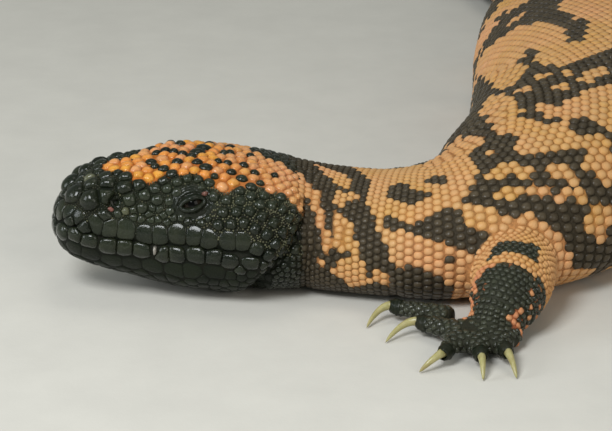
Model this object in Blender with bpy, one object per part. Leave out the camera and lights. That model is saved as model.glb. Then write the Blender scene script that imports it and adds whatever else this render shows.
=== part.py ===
"""A Gila monster at life size, as a still model for a museum.

The animal rests on its belly and chin on a flat floor. Its head points to -X, its neck bends,
and its trunk runs away along +Y with the tail curving round to +X. All sizes are in millimetres
and become metres when a mesh is made.
"""

import math

import bpy
import bmesh
import numpy as np
from mathutils import Vector

MM = 0.001
GAP = 0.3
HEAD_LENGTH = 61.0
TOTAL_LENGTH = 475.0

# The snout's tip on the floor plan, and the plan's point that becomes the origin
SNOUT_TIP = (-61.6, 0.8)
PLAN_CENTRE = (77.0, 123.0)

# The spine's heading in degrees against its length from the snout: 0 is +X, 90 is +Y
HEADINGS = (
    (0, 12), (56, 12), (66, -6), (78, -10), (88, -7), (98, 7), (110, 29), (122, 46), (138, 58),
    (155, 67), (175, 76.5), (200, 83), (225, 87), (255, 90), (285, 87), (305, 79), (325, 69),
    (350, 56), (380, 36), (410, 12), (440, -12), (475, -36),
)

# Cross-sections: length from the snout, half width, underside, top, height of the widest
# point, and how square the upper and the lower half are
SECTIONS = (
    (0.0, 3.0, 14.2, 21.0, 17.6, 2.0, 2.0),
    (0.8, 5.8, 12.2, 23.4, 17.8, 2.1, 2.0),
    (2.5, 8.6, 10.2, 26.4, 18.2, 2.2, 2.0),
    (5.0, 10.6, 8.6, 28.8, 18.4, 2.3, 2.1),
    (9.0, 12.4, 6.8, 31.4, 18.6, 2.3, 2.1),
    (13.0, 13.6, 5.4, 32.6, 18.6, 2.3, 2.2),
    (18.0, 14.8, 3.8, 33.4, 18.6, 2.4, 2.2),
    (24.0, 17.0, 2.0, 33.9, 18.4, 2.5, 2.3),
    (30.0, 19.0, 0.7, 34.3, 17.8, 2.5, 2.3),
    (36.0, 21.0, 0.0, 34.0, 17.2, 2.4, 2.3),
    (42.0, 22.8, -0.6, 33.2, 17.0, 2.3, 2.3),
    (48.0, 23.8, -0.9, 32.2, 16.8, 2.2, 2.3),
    (54.0, 23.4, -0.9, 31.0, 16.0, 2.1, 2.4),
    (59.0, 21.2, -0.9, 29.8, 14.6, 2.1, 2.6),
    (63.0, 20.2, -0.9, 28.4, 13.4, 2.1, 2.7),
    (70.0, 21.2, -0.9, 27.0, 12.6, 2.1, 2.8),
    (80.0, 21.8, -0.9, 26.6, 12.0, 2.1, 2.8),
    (92.0, 23.8, -0.9, 28.4, 12.4, 2.1, 2.8),
    (106.0, 26.6, -1.0, 33.2, 14.0, 2.1, 2.7),
    (122.0, 29.6, -1.2, 38.0, 15.5, 2.1, 2.6),
    (142.0, 32.4, -1.4, 41.4, 16.5, 2.1, 2.6),
    (168.0, 35.6, -1.5, 43.2, 16.5, 2.1, 2.6),
    (200.0, 38.0, -1.5, 44.0, 16.5, 2.1, 2.6),
    (232.0, 38.2, -1.5, 43.0, 16.0, 2.1, 2.6),
    (260.0, 35.5, -1.4, 41.0, 15.5, 2.1, 2.6),
    (282.0, 31.0, -1.2, 38.5, 15.5, 2.1, 2.5),
    (300.0, 25.5, -1.0, 34.5, 15.0, 2.1, 2.3),
    (318.0, 19.0, -0.8, 30.0, 13.5, 2.1, 2.2),
    (335.0, 16.0, -0.6, 27.0, 12.5, 2.1, 2.1),
    (355.0, 14.8, -0.6, 25.5, 11.8, 2.1, 2.1),
    (385.0, 14.2, -0.6, 24.0, 11.0, 2.0, 2.1),
    (415.0, 12.8, -0.6, 21.6, 10.0, 2.0, 2.1),
    (440.0, 10.6, -0.5, 18.0, 8.4, 2.0, 2.1),
    (458.0, 8.2, -0.4, 14.0, 6.6, 2.0, 2.0),
    (469.0, 5.4, 0.6, 10.2, 5.2, 2.0, 2.0),
    (475.0, 1.8, 2.8, 6.6, 4.6, 2.0, 2.0),
)

# Where the trunk is parted into nodes: name, start, end, points round, spacing of the rings,
# height of a bead, and how much wider apart the points lie under the belly
BODY_NODES = (
    ("neck", 61.0, 98.0, 36, 3.3, 0.8, 0.28),
    ("chest", 98.0, 160.0, 36, 3.7, 1.1, 0.42),
    ("trunk", 160.0, 236.0, 36, 3.55, 1.1, 0.5),
    ("hips", 236.0, 312.0, 36, 3.55, 1.1, 0.5),
    ("tail_base", 312.0, 362.0, 27, 3.6, 0.9, 0.28),
    ("tail_middle", 362.0, 416.0, 24, 3.6, 0.9, 0.28),
    ("tail_tip", 416.0, 475.0, 21, 3.6, 0.7, 0.28),
)
HEAD_POINTS = 48
HEAD_RING_SPACING = 2.1
HEAD_BEAD = 0.55
THROAT_COARSENESS = 0.28
BEADS_FROM_SINE = -0.35
BEADS_FULL_SINE = 0.15

# The head's own features, in the head's frame: length from the snout, to the side, height
LIP_LINE = (
    (-4, 19.8), (0, 20.0), (4, 20.2), (8, 19.2), (12.5, 17.7), (19, 16.8), (28, 16.9), (34, 16.7),
    (40, 16.2), (46, 15.5),
)
JAW_HINGE = ((49.0, 14.4), (51.5, 11.0), (53.0, 5.0), (53.5, -6.0))
LIP_GAP = 0.45
EYE_CENTRE = (31.8, 14.4, 26.2)
EYE_RADIUS = 3.2
EYE_FACING = (-0.16, 1.0, 0.34)
LID_RING = (3.25, 2.1)
LID_THICKNESS = 0.95
LID_STAND = 0.75
LID_TILT = 16.0
NOSTRIL = (13.3, 11.2, 26.8)
NOSTRIL_SIZE = (1.9, 1.9, 1.35)
EAR = (58.2, 21.6, 18.0)
EAR_SIZE = (0.9, 2.0, 3.6)

# Swellings and hollows of the head: length, side, height, reach, amount outwards
HEAD_FORMS = (
    ("jaw muscle", 47.0, 22.0, 19.0, 11.0, 2.0),
    ("venom gland", 32.0, 17.0, 8.0, 9.0, 1.4),
    ("brow ridge", 30.5, 13.5, 31.5, 6.0, 1.5),
    ("eye hollow", 31.8, 17.5, 26.2, 4.6, -1.6),
    ("cheek groove", 22.0, 15.5, 25.0, 5.0, -1.2),
    ("canthus", 17.0, 9.0, 32.5, 4.5, 1.2),
    ("nasal bulb", 9.5, 9.0, 28.0, 4.2, 1.2),
    ("rostral plate", 0.0, 0.0, 21.0, 3.6, 0.8),
    ("mental plate", 0.0, 0.0, 14.5, 3.2, 0.6),
    ("crown", 40.0, 7.0, 33.0, 8.0, 0.7),
)
# Rows of lip plates: middle of the row above the line of the mouth, its half height, how far it
# stands out, and where it ends
LIP_ROWS = ((2.5, 2.4, 0.75, 48.0), (-2.6, 2.4, 0.75, 48.0), (-6.6, 1.8, 0.5, 36.0))

# Limbs: joints from inside the body to the wrist or ankle, with radii at each, then the sole's
# centre, and for each toe its root, its end and its claw's tip, on the floor plan
LIMBS = {
    "front_left": {
        "parts": ("upper_arm", "forearm"),
        "joints": ((51.5, 9, 13.2), (50.5, -17.5, 10.7), (46.5, -27.5, 9.2)),
        "radii": (10.9, 10.3, 9.0),
        "sole": (43.0, -33.0),
        "toes": (
            ((35, -25), (22.0, -17.5), (14.5, -22.8)),
            ((37, -34), (28.0, -27.5), (18.8, -31.7)),
            ((36, -37), (32.4, -44.5), (26.2, -48.8)),
            ((40, -38), (40.6, -45.8), (40.8, -53.4)),
            ((45, -36), (46.6, -43.6), (48.6, -52.4)),
        ),
    },
    "front_right": {
        "parts": ("upper_arm", "forearm"),
        "joints": ((54, 44, 15), (29, 42.5, 9.0), (14, 47, 7.6)),
        "radii": (10.5, 8.6, 7.2),
        "sole": (4.5, 49.0),
        "toes": (
            ((1.5, 45), (-7.5, 41.5), (-14.0, 39.5)),
            ((0.5, 47), (-11.0, 46.5), (-18.5, 45.5)),
            ((0.5, 50), (-11.5, 52.0), (-19.0, 53.5)),
            ((1.5, 53), (-7.5, 59.0), (-13.5, 63.5)),
            ((5.5, 55), (3.5, 63.0), (0.0, 69.0)),
        ),
    },
    "hind_left": {
        "parts": ("thigh", "shin"),
        "joints": ((84, 203, 18), (125, 190, 12.8), (141, 211, 9.3)),
        "radii": (13.5, 11.0, 8.4),
        "sole": (149.5, 218.5),
        "toes": (
            ((151, 212), (156.0, 203.5), (159.5, 196.5)),
            ((154, 214), (163.5, 208.0), (170.5, 203.5)),
            ((156, 218), (166.5, 216.5), (174.5, 215.0)),
            ((155, 222), (164.0, 226.0), (171.5, 229.0)),
            ((150, 224), (154.0, 231.0), (158.0, 238.0)),
        ),
    },
    "hind_right": {
        "parts": ("thigh", "shin"),
        "joints": ((85, 206, 18), (64, 241, 12.4), (59, 266, 9.2)),
        "radii": (13.5, 10.8, 8.2),
        "sole": (54.0, 276.0),
        "toes": (
            ((58, 280), (64.0, 287.0), (68.5, 293.0)),
            ((55, 282), (58.0, 291.0), (60.5, 299.0)),
            ((51, 281), (50.0, 291.0), (49.0, 299.5)),
            ((48, 278), (42.5, 285.5), (37.5, 292.0)),
            ((47, 273), (39.5, 275.0), (32.5, 277.5)),
        ),
    },
}
LIMB_POINTS = 14
LIMB_RING_SPACING = 4.3
SOLE_RADIUS = 8.8
SOLE_HEIGHT = 7.2
TOE_RADII = (3.6, 2.9, 2.3)
TOE_HEIGHTS = (3.6, 3.0, 3.4)
CLAW_RADIUS = 1.45
CLAW_RINGS = 5
CLAW_POINTS = 6
CLAW_ARCH = 1.2
CLAW_GAP = 0.7

# Base colours from the photographed animal, as linear red, green and blue
COLOURS = {
    "black_scales": (0.016, 0.019, 0.015),
    "orange_scales": (0.62, 0.26, 0.085),
    "peach_scales": (0.60, 0.31, 0.13),
    "claw_horn": (0.27, 0.22, 0.10),
    "eye_wet_black": (0.008, 0.008, 0.008),
}
ROUGHNESS = {
    "black_scales": 0.35, "orange_scales": 0.45, "peach_scales": 0.5, "claw_horn": 0.4,
    "eye_wet_black": 0.05,
}


def monotone(table, column):
    """A smooth curve through one column of a table that never overshoots its values."""
    at = np.array([row[0] for row in table], float)
    value = np.array([row[column] for row in table], float)
    step = np.diff(at)
    slope = np.diff(value) / step
    inner = np.where(
        slope[:-1] * slope[1:] > 0,
        2 * slope[:-1] * slope[1:] / np.where(slope[:-1] + slope[1:] == 0, 1, slope[:-1] + slope[1:]),
        0.0,
    )
    grade = np.concatenate([[slope[0]], inner, [slope[-1]]])

    def curve(s):
        s = np.asarray(s, float)
        k = np.clip(np.searchsorted(at, s) - 1, 0, len(step) - 1)
        t = (s - at[k]) / step[k]
        return (
            value[k] * (1 + 2 * t) * (1 - t) ** 2
            + grade[k] * step[k] * t * (1 - t) ** 2
            + value[k + 1] * t * t * (3 - 2 * t)
            + grade[k + 1] * step[k] * t * t * (t - 1)
        )

    return curve


heading_at = monotone(HEADINGS, 1)
SECTION_CURVES = [monotone(SECTIONS, column) for column in range(1, 7)]


def spine_table(step=0.25, before=10.0):
    """The spine's plan, added up from its heading in short steps, from just before the snout."""
    s = np.arange(-before, TOTAL_LENGTH + before, step)
    angle = np.radians(heading_at(s + step / 2))
    x = np.concatenate([[0], np.cumsum(np.cos(angle) * step)[:-1]])
    y = np.concatenate([[0], np.cumsum(np.sin(angle) * step)[:-1]])
    tip = round(before / step)
    return s, x - x[tip] + SNOUT_TIP[0], y - y[tip] + SNOUT_TIP[1]


SPINE_S, SPINE_X, SPINE_Y = spine_table()


def placed(s, side, height):
    """World millimetres of a point given along the spine, to the animal's left, and in height."""
    angle = np.radians(heading_at(s))
    x = np.interp(s, SPINE_S, SPINE_X) + side * np.sin(angle)
    y = np.interp(s, SPINE_S, SPINE_Y) - side * np.cos(angle)
    return np.stack(np.broadcast_arrays(x, y, height), -1)


def section(s, angle, grow=0.0):
    """Side and height of the body's outline at s, where angle 0 is the left side and 90 the top."""
    half, under, top, widest, square_up, square_down = [curve(s) for curve in SECTION_CURVES]
    cosine, sine = np.cos(angle), np.sin(angle)
    up = sine >= 0
    rise = np.where(up, top - widest, widest - under) + grow
    power = np.where(up, square_up, square_down)
    reach = (
        np.abs(cosine / (half + grow)) ** power + np.abs(sine / rise) ** power
    ) ** (-1 / power)
    return reach * cosine, widest + reach * sine


def head_swelling(s, side, height):
    """How far the head's forms push its outline out or in at a point."""
    total = np.zeros(np.broadcast(s, side, height).shape)
    for _, at_s, at_side, at_height, reach, amount in HEAD_FORMS:
        away = (s - at_s) ** 2 + (np.abs(side) - at_side) ** 2 + (height - at_height) ** 2
        total += amount * np.exp(-away / reach**2)
    return total


def lip_plates(s, side, height, row_shift):
    """How far the plates along both lips stand out: every other ring is the groove between two."""
    line = np.interp(s, *np.array(LIP_LINE, float).T)
    total = np.zeros(np.shape(height))
    for middle, half, amount, last in LIP_ROWS:
        inside = 1 - smooth_step(np.abs(height - line - middle), half * 0.6, half * 1.3)
        total = np.maximum(total, inside * amount * (0.25 + 0.75 * row_shift) * (s < last))
    return total


def smooth_step(value, low, high):
    t = np.clip((value - low) / (high - low), 0, 1)
    return t * t * (3 - 2 * t)


def body_rings(start, end, points, spacing, bead, coarseness, grow=0.0):
    """Rings of a stretch of the body, offset by half a point in turn so that beads pack in
    hexagons. Every third point of the lattice is a bead's crown, and the points lie closer
    above than below."""
    count = max(3, round((end - start) / spacing))
    rings = []
    for i in range(count + 1):
        s = start + (end - start) * i / count
        turn = (np.arange(points) + 0.5 * (i % 2)) / points
        turn = turn + coarseness * np.sin(2 * math.pi * turn) / (2 * math.pi)
        angle = 2 * math.pi * turn - math.pi / 2
        side, height = section(s, angle, grow)
        outward = head_swelling(s, side, height) if s < HEAD_LENGTH + 8 else 0.0
        crown = (np.arange(points) - i // 2 - i) % 3 == 0
        if 0 < i < count:
            shown = bead * crown * smooth_step(np.sin(angle), BEADS_FROM_SINE, BEADS_FULL_SINE)
            if s < HEAD_LENGTH:
                plates = lip_plates(s, side, height, i % 2)
                shown = np.where(plates > 0.02, plates, shown)
            outward = outward + shown
        side = side + outward * np.cos(angle)
        height = np.maximum(height + outward * np.sin(angle), 0.0)
        rings.append(placed(s, side, height))
    return rings


def tube_rings(path, radii, points, spacing, start=0.0, end=1.0, trim=(0.0, 0.0)):
    """Round rings along a smooth curve through a limb's joints, from start to end of its length.
    The trim draws the first and the last ring in, square to the curve, for a gap with even sides."""
    path = np.array(path, float)
    knots = np.concatenate([[0], np.cumsum(np.linalg.norm(np.diff(path, axis=0), axis=1))])
    fine = np.linspace(0, knots[-1], 120)
    curve = np.stack([rounded(knots, path[:, k], fine) for k in range(3)], 1)
    radius = np.interp(fine, knots, radii)
    tangent = np.gradient(curve, fine, axis=0)
    tangent /= np.linalg.norm(tangent, axis=1)[:, None]
    count = max(2, round((end - start) * knots[-1] / spacing))
    rings = []
    for i, share in enumerate(np.linspace(start, end, count + 1)):
        at = share * knots[-1]
        centre = np.array([np.interp(at, fine, curve[:, k]) for k in range(3)])
        along = np.array([np.interp(at, fine, tangent[:, k]) for k in range(3)])
        along /= np.linalg.norm(along)
        centre += along * (trim[0] if i == 0 else -trim[1] if i == count else 0.0)
        level = np.cross(along, (0.0, 0.0, 1.0))
        level /= np.linalg.norm(level)
        upright = np.cross(level, along)
        turn = 2 * math.pi * np.arange(points) / points
        size = np.interp(at, fine, radius)
        rings.append(
            centre + size * (np.cos(turn)[:, None] * level + np.sin(turn)[:, None] * upright)
        )
    return rings


def rounded(knots, values, at):
    """A run of straight lines through a limb's joints, averaged so that each joint is a curve."""
    reach = np.minimum(0.17 * knots[-1], np.minimum(at - knots[0], knots[-1] - at))
    return np.mean([np.interp(at + reach * k, knots, values) for k in np.linspace(-1, 1, 15)], 0)


def material(name):
    made = bpy.data.materials.get(name) or bpy.data.materials.new(name)
    made.use_nodes = True
    shader = made.node_tree.nodes["Principled BSDF"]
    shader.inputs["Base Color"].default_value = (*COLOURS[name], 1)
    shader.inputs["Roughness"].default_value = ROUGHNESS[name]
    made.diffuse_color = (*COLOURS[name], 1)
    return made


def object_of(name, mesh, colour, collection):
    made = bpy.data.objects.new(name, mesh)
    mesh.materials.append(material(colour))
    collection.objects.link(made)
    return made


def to_metres(points):
    """Moves the plan's centre to the origin and turns millimetres into metres."""
    points = np.asarray(points, float) - (*PLAN_CENTRE, 0.0)
    return points * MM


def loft(name, rings, colour, collection, offset=False):
    """A closed skin over rings of equal count, capped by a fan at each end."""
    points = len(rings[0])
    made = bmesh.new()
    rows = [[made.verts.new(p) for p in to_metres(ring)] for ring in rings]
    ends = [made.verts.new(to_metres(np.mean(ring, axis=0))) for ring in (rings[0], rings[-1])]
    for i, (low, high) in enumerate(zip(rows, rows[1:])):
        for j in range(points):
            k = (j + 1) % points
            if offset and i % 2:
                made.faces.new((low[j], high[k], high[j]))
                made.faces.new((low[j], low[k], high[k]))
            else:
                made.faces.new((low[j], low[k], high[j]))
                made.faces.new((low[k], high[k], high[j]))
    for j in range(points):
        k = (j + 1) % points
        made.faces.new((ends[0], rows[0][k], rows[0][j]))
        made.faces.new((ends[1], rows[-1][j], rows[-1][k]))
    bmesh.ops.recalc_face_normals(made, faces=made.faces)
    mesh = bpy.data.meshes.new(name)
    made.to_mesh(mesh)
    made.free()
    return object_of(name, mesh, colour, collection)


def ellipsoid(name, centre, radii, colour, collection, segments=16, rings=10):
    """A ball scaled to three radii along the head's own axes."""
    made = bmesh.new()
    bmesh.ops.create_uvsphere(made, u_segments=segments, v_segments=rings, radius=1)
    points = np.array([v.co for v in made.verts])
    around = centre + points * radii
    for vert, place in zip(made.verts, to_metres(placed(around[:, 0], around[:, 1], around[:, 2]))):
        vert.co = place
    made.normal_update()
    bmesh.ops.recalc_face_normals(made, faces=made.faces)
    mesh = bpy.data.meshes.new(name)
    made.to_mesh(mesh)
    made.free()
    return object_of(name, mesh, colour, collection)


def hidden(made):
    made.hide_render = True
    made.display_type = "WIRE"
    return made


def applied(target, operation, pieces, solver="EXACT"):
    """One Boolean of a node with several pieces, applied, after which the pieces are removed."""
    group = bpy.data.collections.new(target.name + "_pieces")
    for piece in pieces:
        for owner in list(piece.users_collection):
            owner.objects.unlink(piece)
        group.objects.link(piece)
    cut = target.modifiers.new("join", "BOOLEAN")
    cut.operation = operation
    cut.operand_type = "COLLECTION"
    cut.collection = group
    cut.solver = solver
    graph = bpy.context.evaluated_depsgraph_get()
    mesh = bpy.data.meshes.new_from_object(target.evaluated_get(graph))
    target.modifiers.clear()
    target.data = mesh
    for piece in pieces:
        bpy.data.objects.remove(piece)
    bpy.data.collections.remove(group)
    return target


def surfaces(mesh):
    """The closed surfaces of a mesh as lists of face indices, largest volume first."""
    made = bmesh.new()
    made.from_mesh(mesh)
    made.faces.ensure_lookup_table()
    left, found = set(range(len(made.faces))), []
    while left:
        todo, group = [left.pop()], []
        while todo:
            index = todo.pop()
            group.append(index)
            for edge in made.faces[index].edges:
                for face in edge.link_faces:
                    if face.index in left:
                        left.discard(face.index)
                        todo.append(face.index)
        found.append(group)
    volume = []
    for group in found:
        total = 0.0
        for index in group:
            corners = [v.co for v in made.faces[index].verts]
            for b, c in zip(corners[1:], corners[2:]):
                total += corners[0].dot(b.cross(c))
        volume.append(abs(total))
    made.free()
    return [found[k] for k in np.argsort(volume)[::-1]]


def keep_surface(made, group):
    """Keeps only the given faces of an object's mesh."""
    cut = bmesh.new()
    cut.from_mesh(made.data)
    cut.faces.ensure_lookup_table()
    kept = set(group)
    bmesh.ops.delete(cut, geom=[f for f in cut.faces if f.index not in kept], context="FACES")
    loose = [v for v in cut.verts if not v.link_faces]
    bmesh.ops.delete(cut, geom=loose, context="VERTS")
    bmesh.ops.triangulate(cut, faces=cut.faces)
    mesh = bpy.data.meshes.new(made.name)
    cut.to_mesh(mesh)
    cut.free()
    for slot in made.data.materials:
        mesh.materials.append(slot)
    made.data = mesh
    return made


def keep_largest(made):
    return keep_surface(made, surfaces(made.data)[0])


def finish(made, crease=40.0):
    made.data.shade_smooth()
    made.data.set_sharp_from_angle(angle=math.radians(crease))
    return made


def lip_ribbon(collection):
    """The thin curtain that parts the lower jaw from the head along the line of the mouth."""
    line = np.array(LIP_LINE + JAW_HINGE, float)
    slope = np.gradient(line, axis=0)
    slope /= np.linalg.norm(slope, axis=1)[:, None]
    across = np.stack([-slope[:, 1], slope[:, 0]], 1) * LIP_GAP / 2
    made = bmesh.new()
    rows = []
    for side in (-40.0, 40.0):
        for edge in (line + across, line - across):
            rows.append([made.verts.new(to_metres(placed(s, side, z))) for s, z in edge])
    near_top, near_low, far_top, far_low = rows
    for a, b in ((near_top, far_top), (far_top, far_low), (far_low, near_low), (near_low, near_top)):
        for k in range(len(line) - 1):
            made.faces.new((a[k], a[k + 1], b[k + 1], b[k]))
    for k in (0, -1):
        made.faces.new((near_top[k], far_top[k], far_low[k], near_low[k]))
    bmesh.ops.recalc_face_normals(made, faces=made.faces)
    mesh = bpy.data.meshes.new("lip_ribbon")
    made.to_mesh(mesh)
    made.free()
    return hidden(object_of("lip_ribbon", mesh, "black_scales", collection))


def eyelids(side, collection):
    """Both lids of one eye as a ring of soft skin that hugs the ball and leaves an almond."""
    facing = np.array(EYE_FACING) / np.linalg.norm(EYE_FACING)
    upward = np.array((0.0, 0.0, 1.0)) - facing * facing[2]
    upward /= np.linalg.norm(upward)
    backward = np.cross(facing, upward)
    backward *= np.sign(backward[0])
    turn = 2 * math.pi * np.arange(14) / 14
    tilt = math.radians(LID_TILT)
    along, up = LID_RING[0] * np.cos(turn), LID_RING[1] * np.sin(turn)
    along, up = along * math.cos(tilt) - up * math.sin(tilt), along * math.sin(tilt) + up * math.cos(tilt)
    out = np.sqrt((EYE_RADIUS + LID_STAND) ** 2 - along**2 - up**2)
    points = EYE_CENTRE + np.outer(along, backward) + np.outer(up, upward) + np.outer(out, facing)
    made = bpy.data.curves.new("lids", "CURVE")
    made.dimensions = "3D"
    made.bevel_depth = LID_THICKNESS * MM
    made.bevel_resolution = 1
    spline = made.splines.new("POLY")
    spline.points.add(len(turn) - 1)
    for knot, (s, outward, height) in zip(spline.points, points):
        knot.co = (*to_metres(placed(s, side * outward, height)), 1)
    spline.use_cyclic_u = True
    curve = bpy.data.objects.new("lids", made)
    collection.objects.link(curve)
    bpy.context.view_layer.update()
    mesh = bpy.data.meshes.new_from_object(
        curve.evaluated_get(bpy.context.evaluated_depsgraph_get())
    )
    bpy.data.objects.remove(curve)
    return object_of("lids", mesh, "black_scales", collection)


def head_and_jaw(animal, cutters):
    lattice = (HEAD_POINTS, HEAD_RING_SPACING, HEAD_BEAD, THROAT_COARSENESS)
    rings = body_rings(0.0, HEAD_LENGTH - GAP / 2, *lattice)
    head = loft("head", rings, "black_scales", animal, offset=True)
    applied(head, "UNION", [eyelids(side, cutters) for side in (-1, 1)])
    cuts = [lip_ribbon(cutters)]
    for side in (-1, 1):
        mirror = np.array((1, side, 1))
        socket = (EYE_RADIUS + GAP,) * 3
        cuts.append(ellipsoid("socket", EYE_CENTRE * mirror, socket, "black_scales", cutters))
        cuts.append(ellipsoid("nostril", NOSTRIL * mirror, NOSTRIL_SIZE, "black_scales", cutters, 10, 6))
        cuts.append(ellipsoid("ear", EAR * mirror, EAR_SIZE, "black_scales", cutters, 10, 6))
    applied(head, "DIFFERENCE", cuts)
    upper, lower = surfaces(head.data)[:2]
    jaw = bpy.data.objects.new("lower_jaw", head.data.copy())
    animal.objects.link(jaw)
    finish(keep_surface(head, upper))
    finish(keep_surface(jaw, lower))
    for side, name in ((1, "eye_left"), (-1, "eye_right")):
        centre = EYE_CENTRE * np.array((1, side, 1))
        ball = ellipsoid(name, centre, (EYE_RADIUS,) * 3, "eye_wet_black", animal, 14, 10)
        finish(ball, 60)


def trunk_and_tail(animal):
    for name, start, end, *lattice in BODY_NODES:
        first = start + GAP / 2
        last = end - GAP / 2 if end < TOTAL_LENGTH else end
        rings = body_rings(first, last, *lattice)
        finish(loft(name, rings, "peach_scales", animal, offset=True))


def clearance(cutters):
    """The trunk's own shapes, larger by the gap, which the limbs' roots are cut clear of."""
    made = []
    for name, start, end, *lattice in BODY_NODES[:5]:
        rings = body_rings(start + GAP / 2, end - GAP / 2, *lattice, grow=GAP + 0.1)
        before = rings[0] + (rings[0] - rings[1]) * 0.15
        after = rings[-1] + (rings[-1] - rings[-2]) * 0.15
        rings = [before, *rings[1:-1], after]
        made.append(loft("clearance_" + name, rings, "black_scales", cutters, offset=True))
    return made


def toe(name, root, end, collection):
    """A tapering toe from inside the sole to the flat that its claw grows from."""
    path = [(*root, TOE_HEIGHTS[0]), ((root[0] + end[0]) / 2, (root[1] + end[1]) / 2, TOE_HEIGHTS[1] + 0.9),
            (*end, TOE_HEIGHTS[2])]
    rings = tube_rings(path, TOE_RADII, 8, 3.6)
    return loft(name, rings, "black_scales", collection)


def claw(name, root, end, tip, animal):
    """A curved claw that goes on from its toe's end and comes down to the floor."""
    along = np.array((end[0] - root[0], end[1] - root[1], 0.0))
    along /= np.linalg.norm(along)
    start = np.array((*end, TOE_HEIGHTS[2])) + along * CLAW_GAP
    point = np.array((*tip, 0.3))
    reach = np.linalg.norm(point - start)
    bend = start + along * reach * 0.5 + (0, 0, CLAW_ARCH)
    turn = 2 * math.pi * np.arange(CLAW_POINTS) / CLAW_POINTS
    rings = []
    for share in np.linspace(0, 1, CLAW_RINGS):
        centre = start * (1 - share) ** 2 + bend * 2 * share * (1 - share) + point * share**2
        heading = (bend - start) * (1 - share) + (point - bend) * share
        heading /= np.linalg.norm(heading)
        level = np.cross(heading, (0, 0, 1))
        level /= np.linalg.norm(level)
        upright = np.cross(level, heading)
        size = CLAW_RADIUS * (1 - share) ** 0.7 + 0.14
        ring = centre + size * (np.cos(turn)[:, None] * level * 0.85 + np.sin(turn)[:, None] * upright)
        ring[:, 2] = np.maximum(ring[:, 2], 0.05)
        rings.append(ring)
    return finish(loft(name, rings, "claw_horn", animal))


def floor_block(cutters):
    """A block under the floor, which flattens the soles."""
    made = bmesh.new()
    bmesh.ops.create_cube(made, size=1)
    for vert in made.verts:
        vert.co = Vector((vert.co.x, vert.co.y, (vert.co.z - 0.5) * 0.05))
    mesh = bpy.data.meshes.new("floor_block")
    made.to_mesh(mesh)
    made.free()
    return object_of("floor_block", mesh, "black_scales", cutters)


def limb(name, plan, animal, cutters):
    upper, lower = plan["parts"]
    joints = list(plan["joints"]) + [(*plan["sole"], SOLE_HEIGHT * 0.5)]
    radii = list(plan["radii"]) + [SOLE_HEIGHT * 0.62]
    lengths = [math.dist(a, b) for a, b in zip(joints, joints[1:])]
    total = sum(lengths)
    bend, wrist = lengths[0] / total, (lengths[0] + lengths[1]) / total
    half = GAP / 2
    spans = ((upper, 0.0, bend, (0, half)), (lower, bend, wrist, (half, half)))
    for part, start, end, trim in spans:
        rings = tube_rings(joints, radii, LIMB_POINTS, LIMB_RING_SPACING, start, end, trim)
        made = loft(f"{name}_{part}", rings, "black_scales", animal)
        applied(made, "DIFFERENCE", clearance(cutters))
        finish(keep_largest(made))
    palm = tube_rings(joints, radii, LIMB_POINTS, LIMB_RING_SPACING, wrist, 1.0, (half, 0))
    foot = loft(f"{name}_foot", palm, "black_scales", animal)
    sole = np.array((*plan["sole"], SOLE_HEIGHT / 2 - 0.6))
    pad = bmesh.new()
    bmesh.ops.create_uvsphere(pad, u_segments=14, v_segments=7, radius=1)
    for vert in pad.verts:
        vert.co = to_metres(sole + np.array(vert.co) * (SOLE_RADIUS, SOLE_RADIUS, SOLE_HEIGHT / 2 + 1))
    pad.normal_update()
    mesh = bpy.data.meshes.new("pad")
    pad.to_mesh(mesh)
    pad.free()
    pieces = [object_of("pad", mesh, "black_scales", cutters)]
    for k, (root, end, tip) in enumerate(plan["toes"], 1):
        pieces.append(toe(f"toe_{k}", root, end, cutters))
        claw(f"{name}_claw_{k}", root, end, tip, animal)
    applied(foot, "UNION", pieces)
    wider = [radius + GAP + 0.5 for radius in radii]
    shin = tube_rings(joints, wider, LIMB_POINTS, LIMB_RING_SPACING, bend, wrist, (0, -half * 0.7))
    spare = loft("shin_clearance", shin, "black_scales", cutters)
    applied(foot, "DIFFERENCE", [spare, floor_block(cutters)])
    finish(keep_largest(foot))


def main():
    for old in list(bpy.data.objects):
        bpy.data.objects.remove(old)
    animal = bpy.data.collections.new("gila_monster")
    cutters = bpy.data.collections.new("cutters")
    bpy.context.scene.collection.children.link(animal)
    bpy.context.scene.collection.children.link(cutters)
    head_and_jaw(animal, cutters)
    trunk_and_tail(animal)
    for name, plan in LIMBS.items():
        limb(name, plan, animal, cutters)


main()
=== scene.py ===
"""The dressed Gila monster: one skin, beaded scales, lids, nostrils, ears, eyes and claws.

Lengths inside the making are millimetres on the same floor plan as the solids, and become
metres when a mesh is made. The body is measured by its length from the snout and by the arc
from the middle of the back, which is positive on the animal's left.
"""

import math

import bpy
import numpy as np
from bpy.props import FloatProperty, FloatVectorProperty, IntProperty, PointerProperty
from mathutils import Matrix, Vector
from mathutils.bvhtree import BVHTree
from mathutils.kdtree import KDTree


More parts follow.
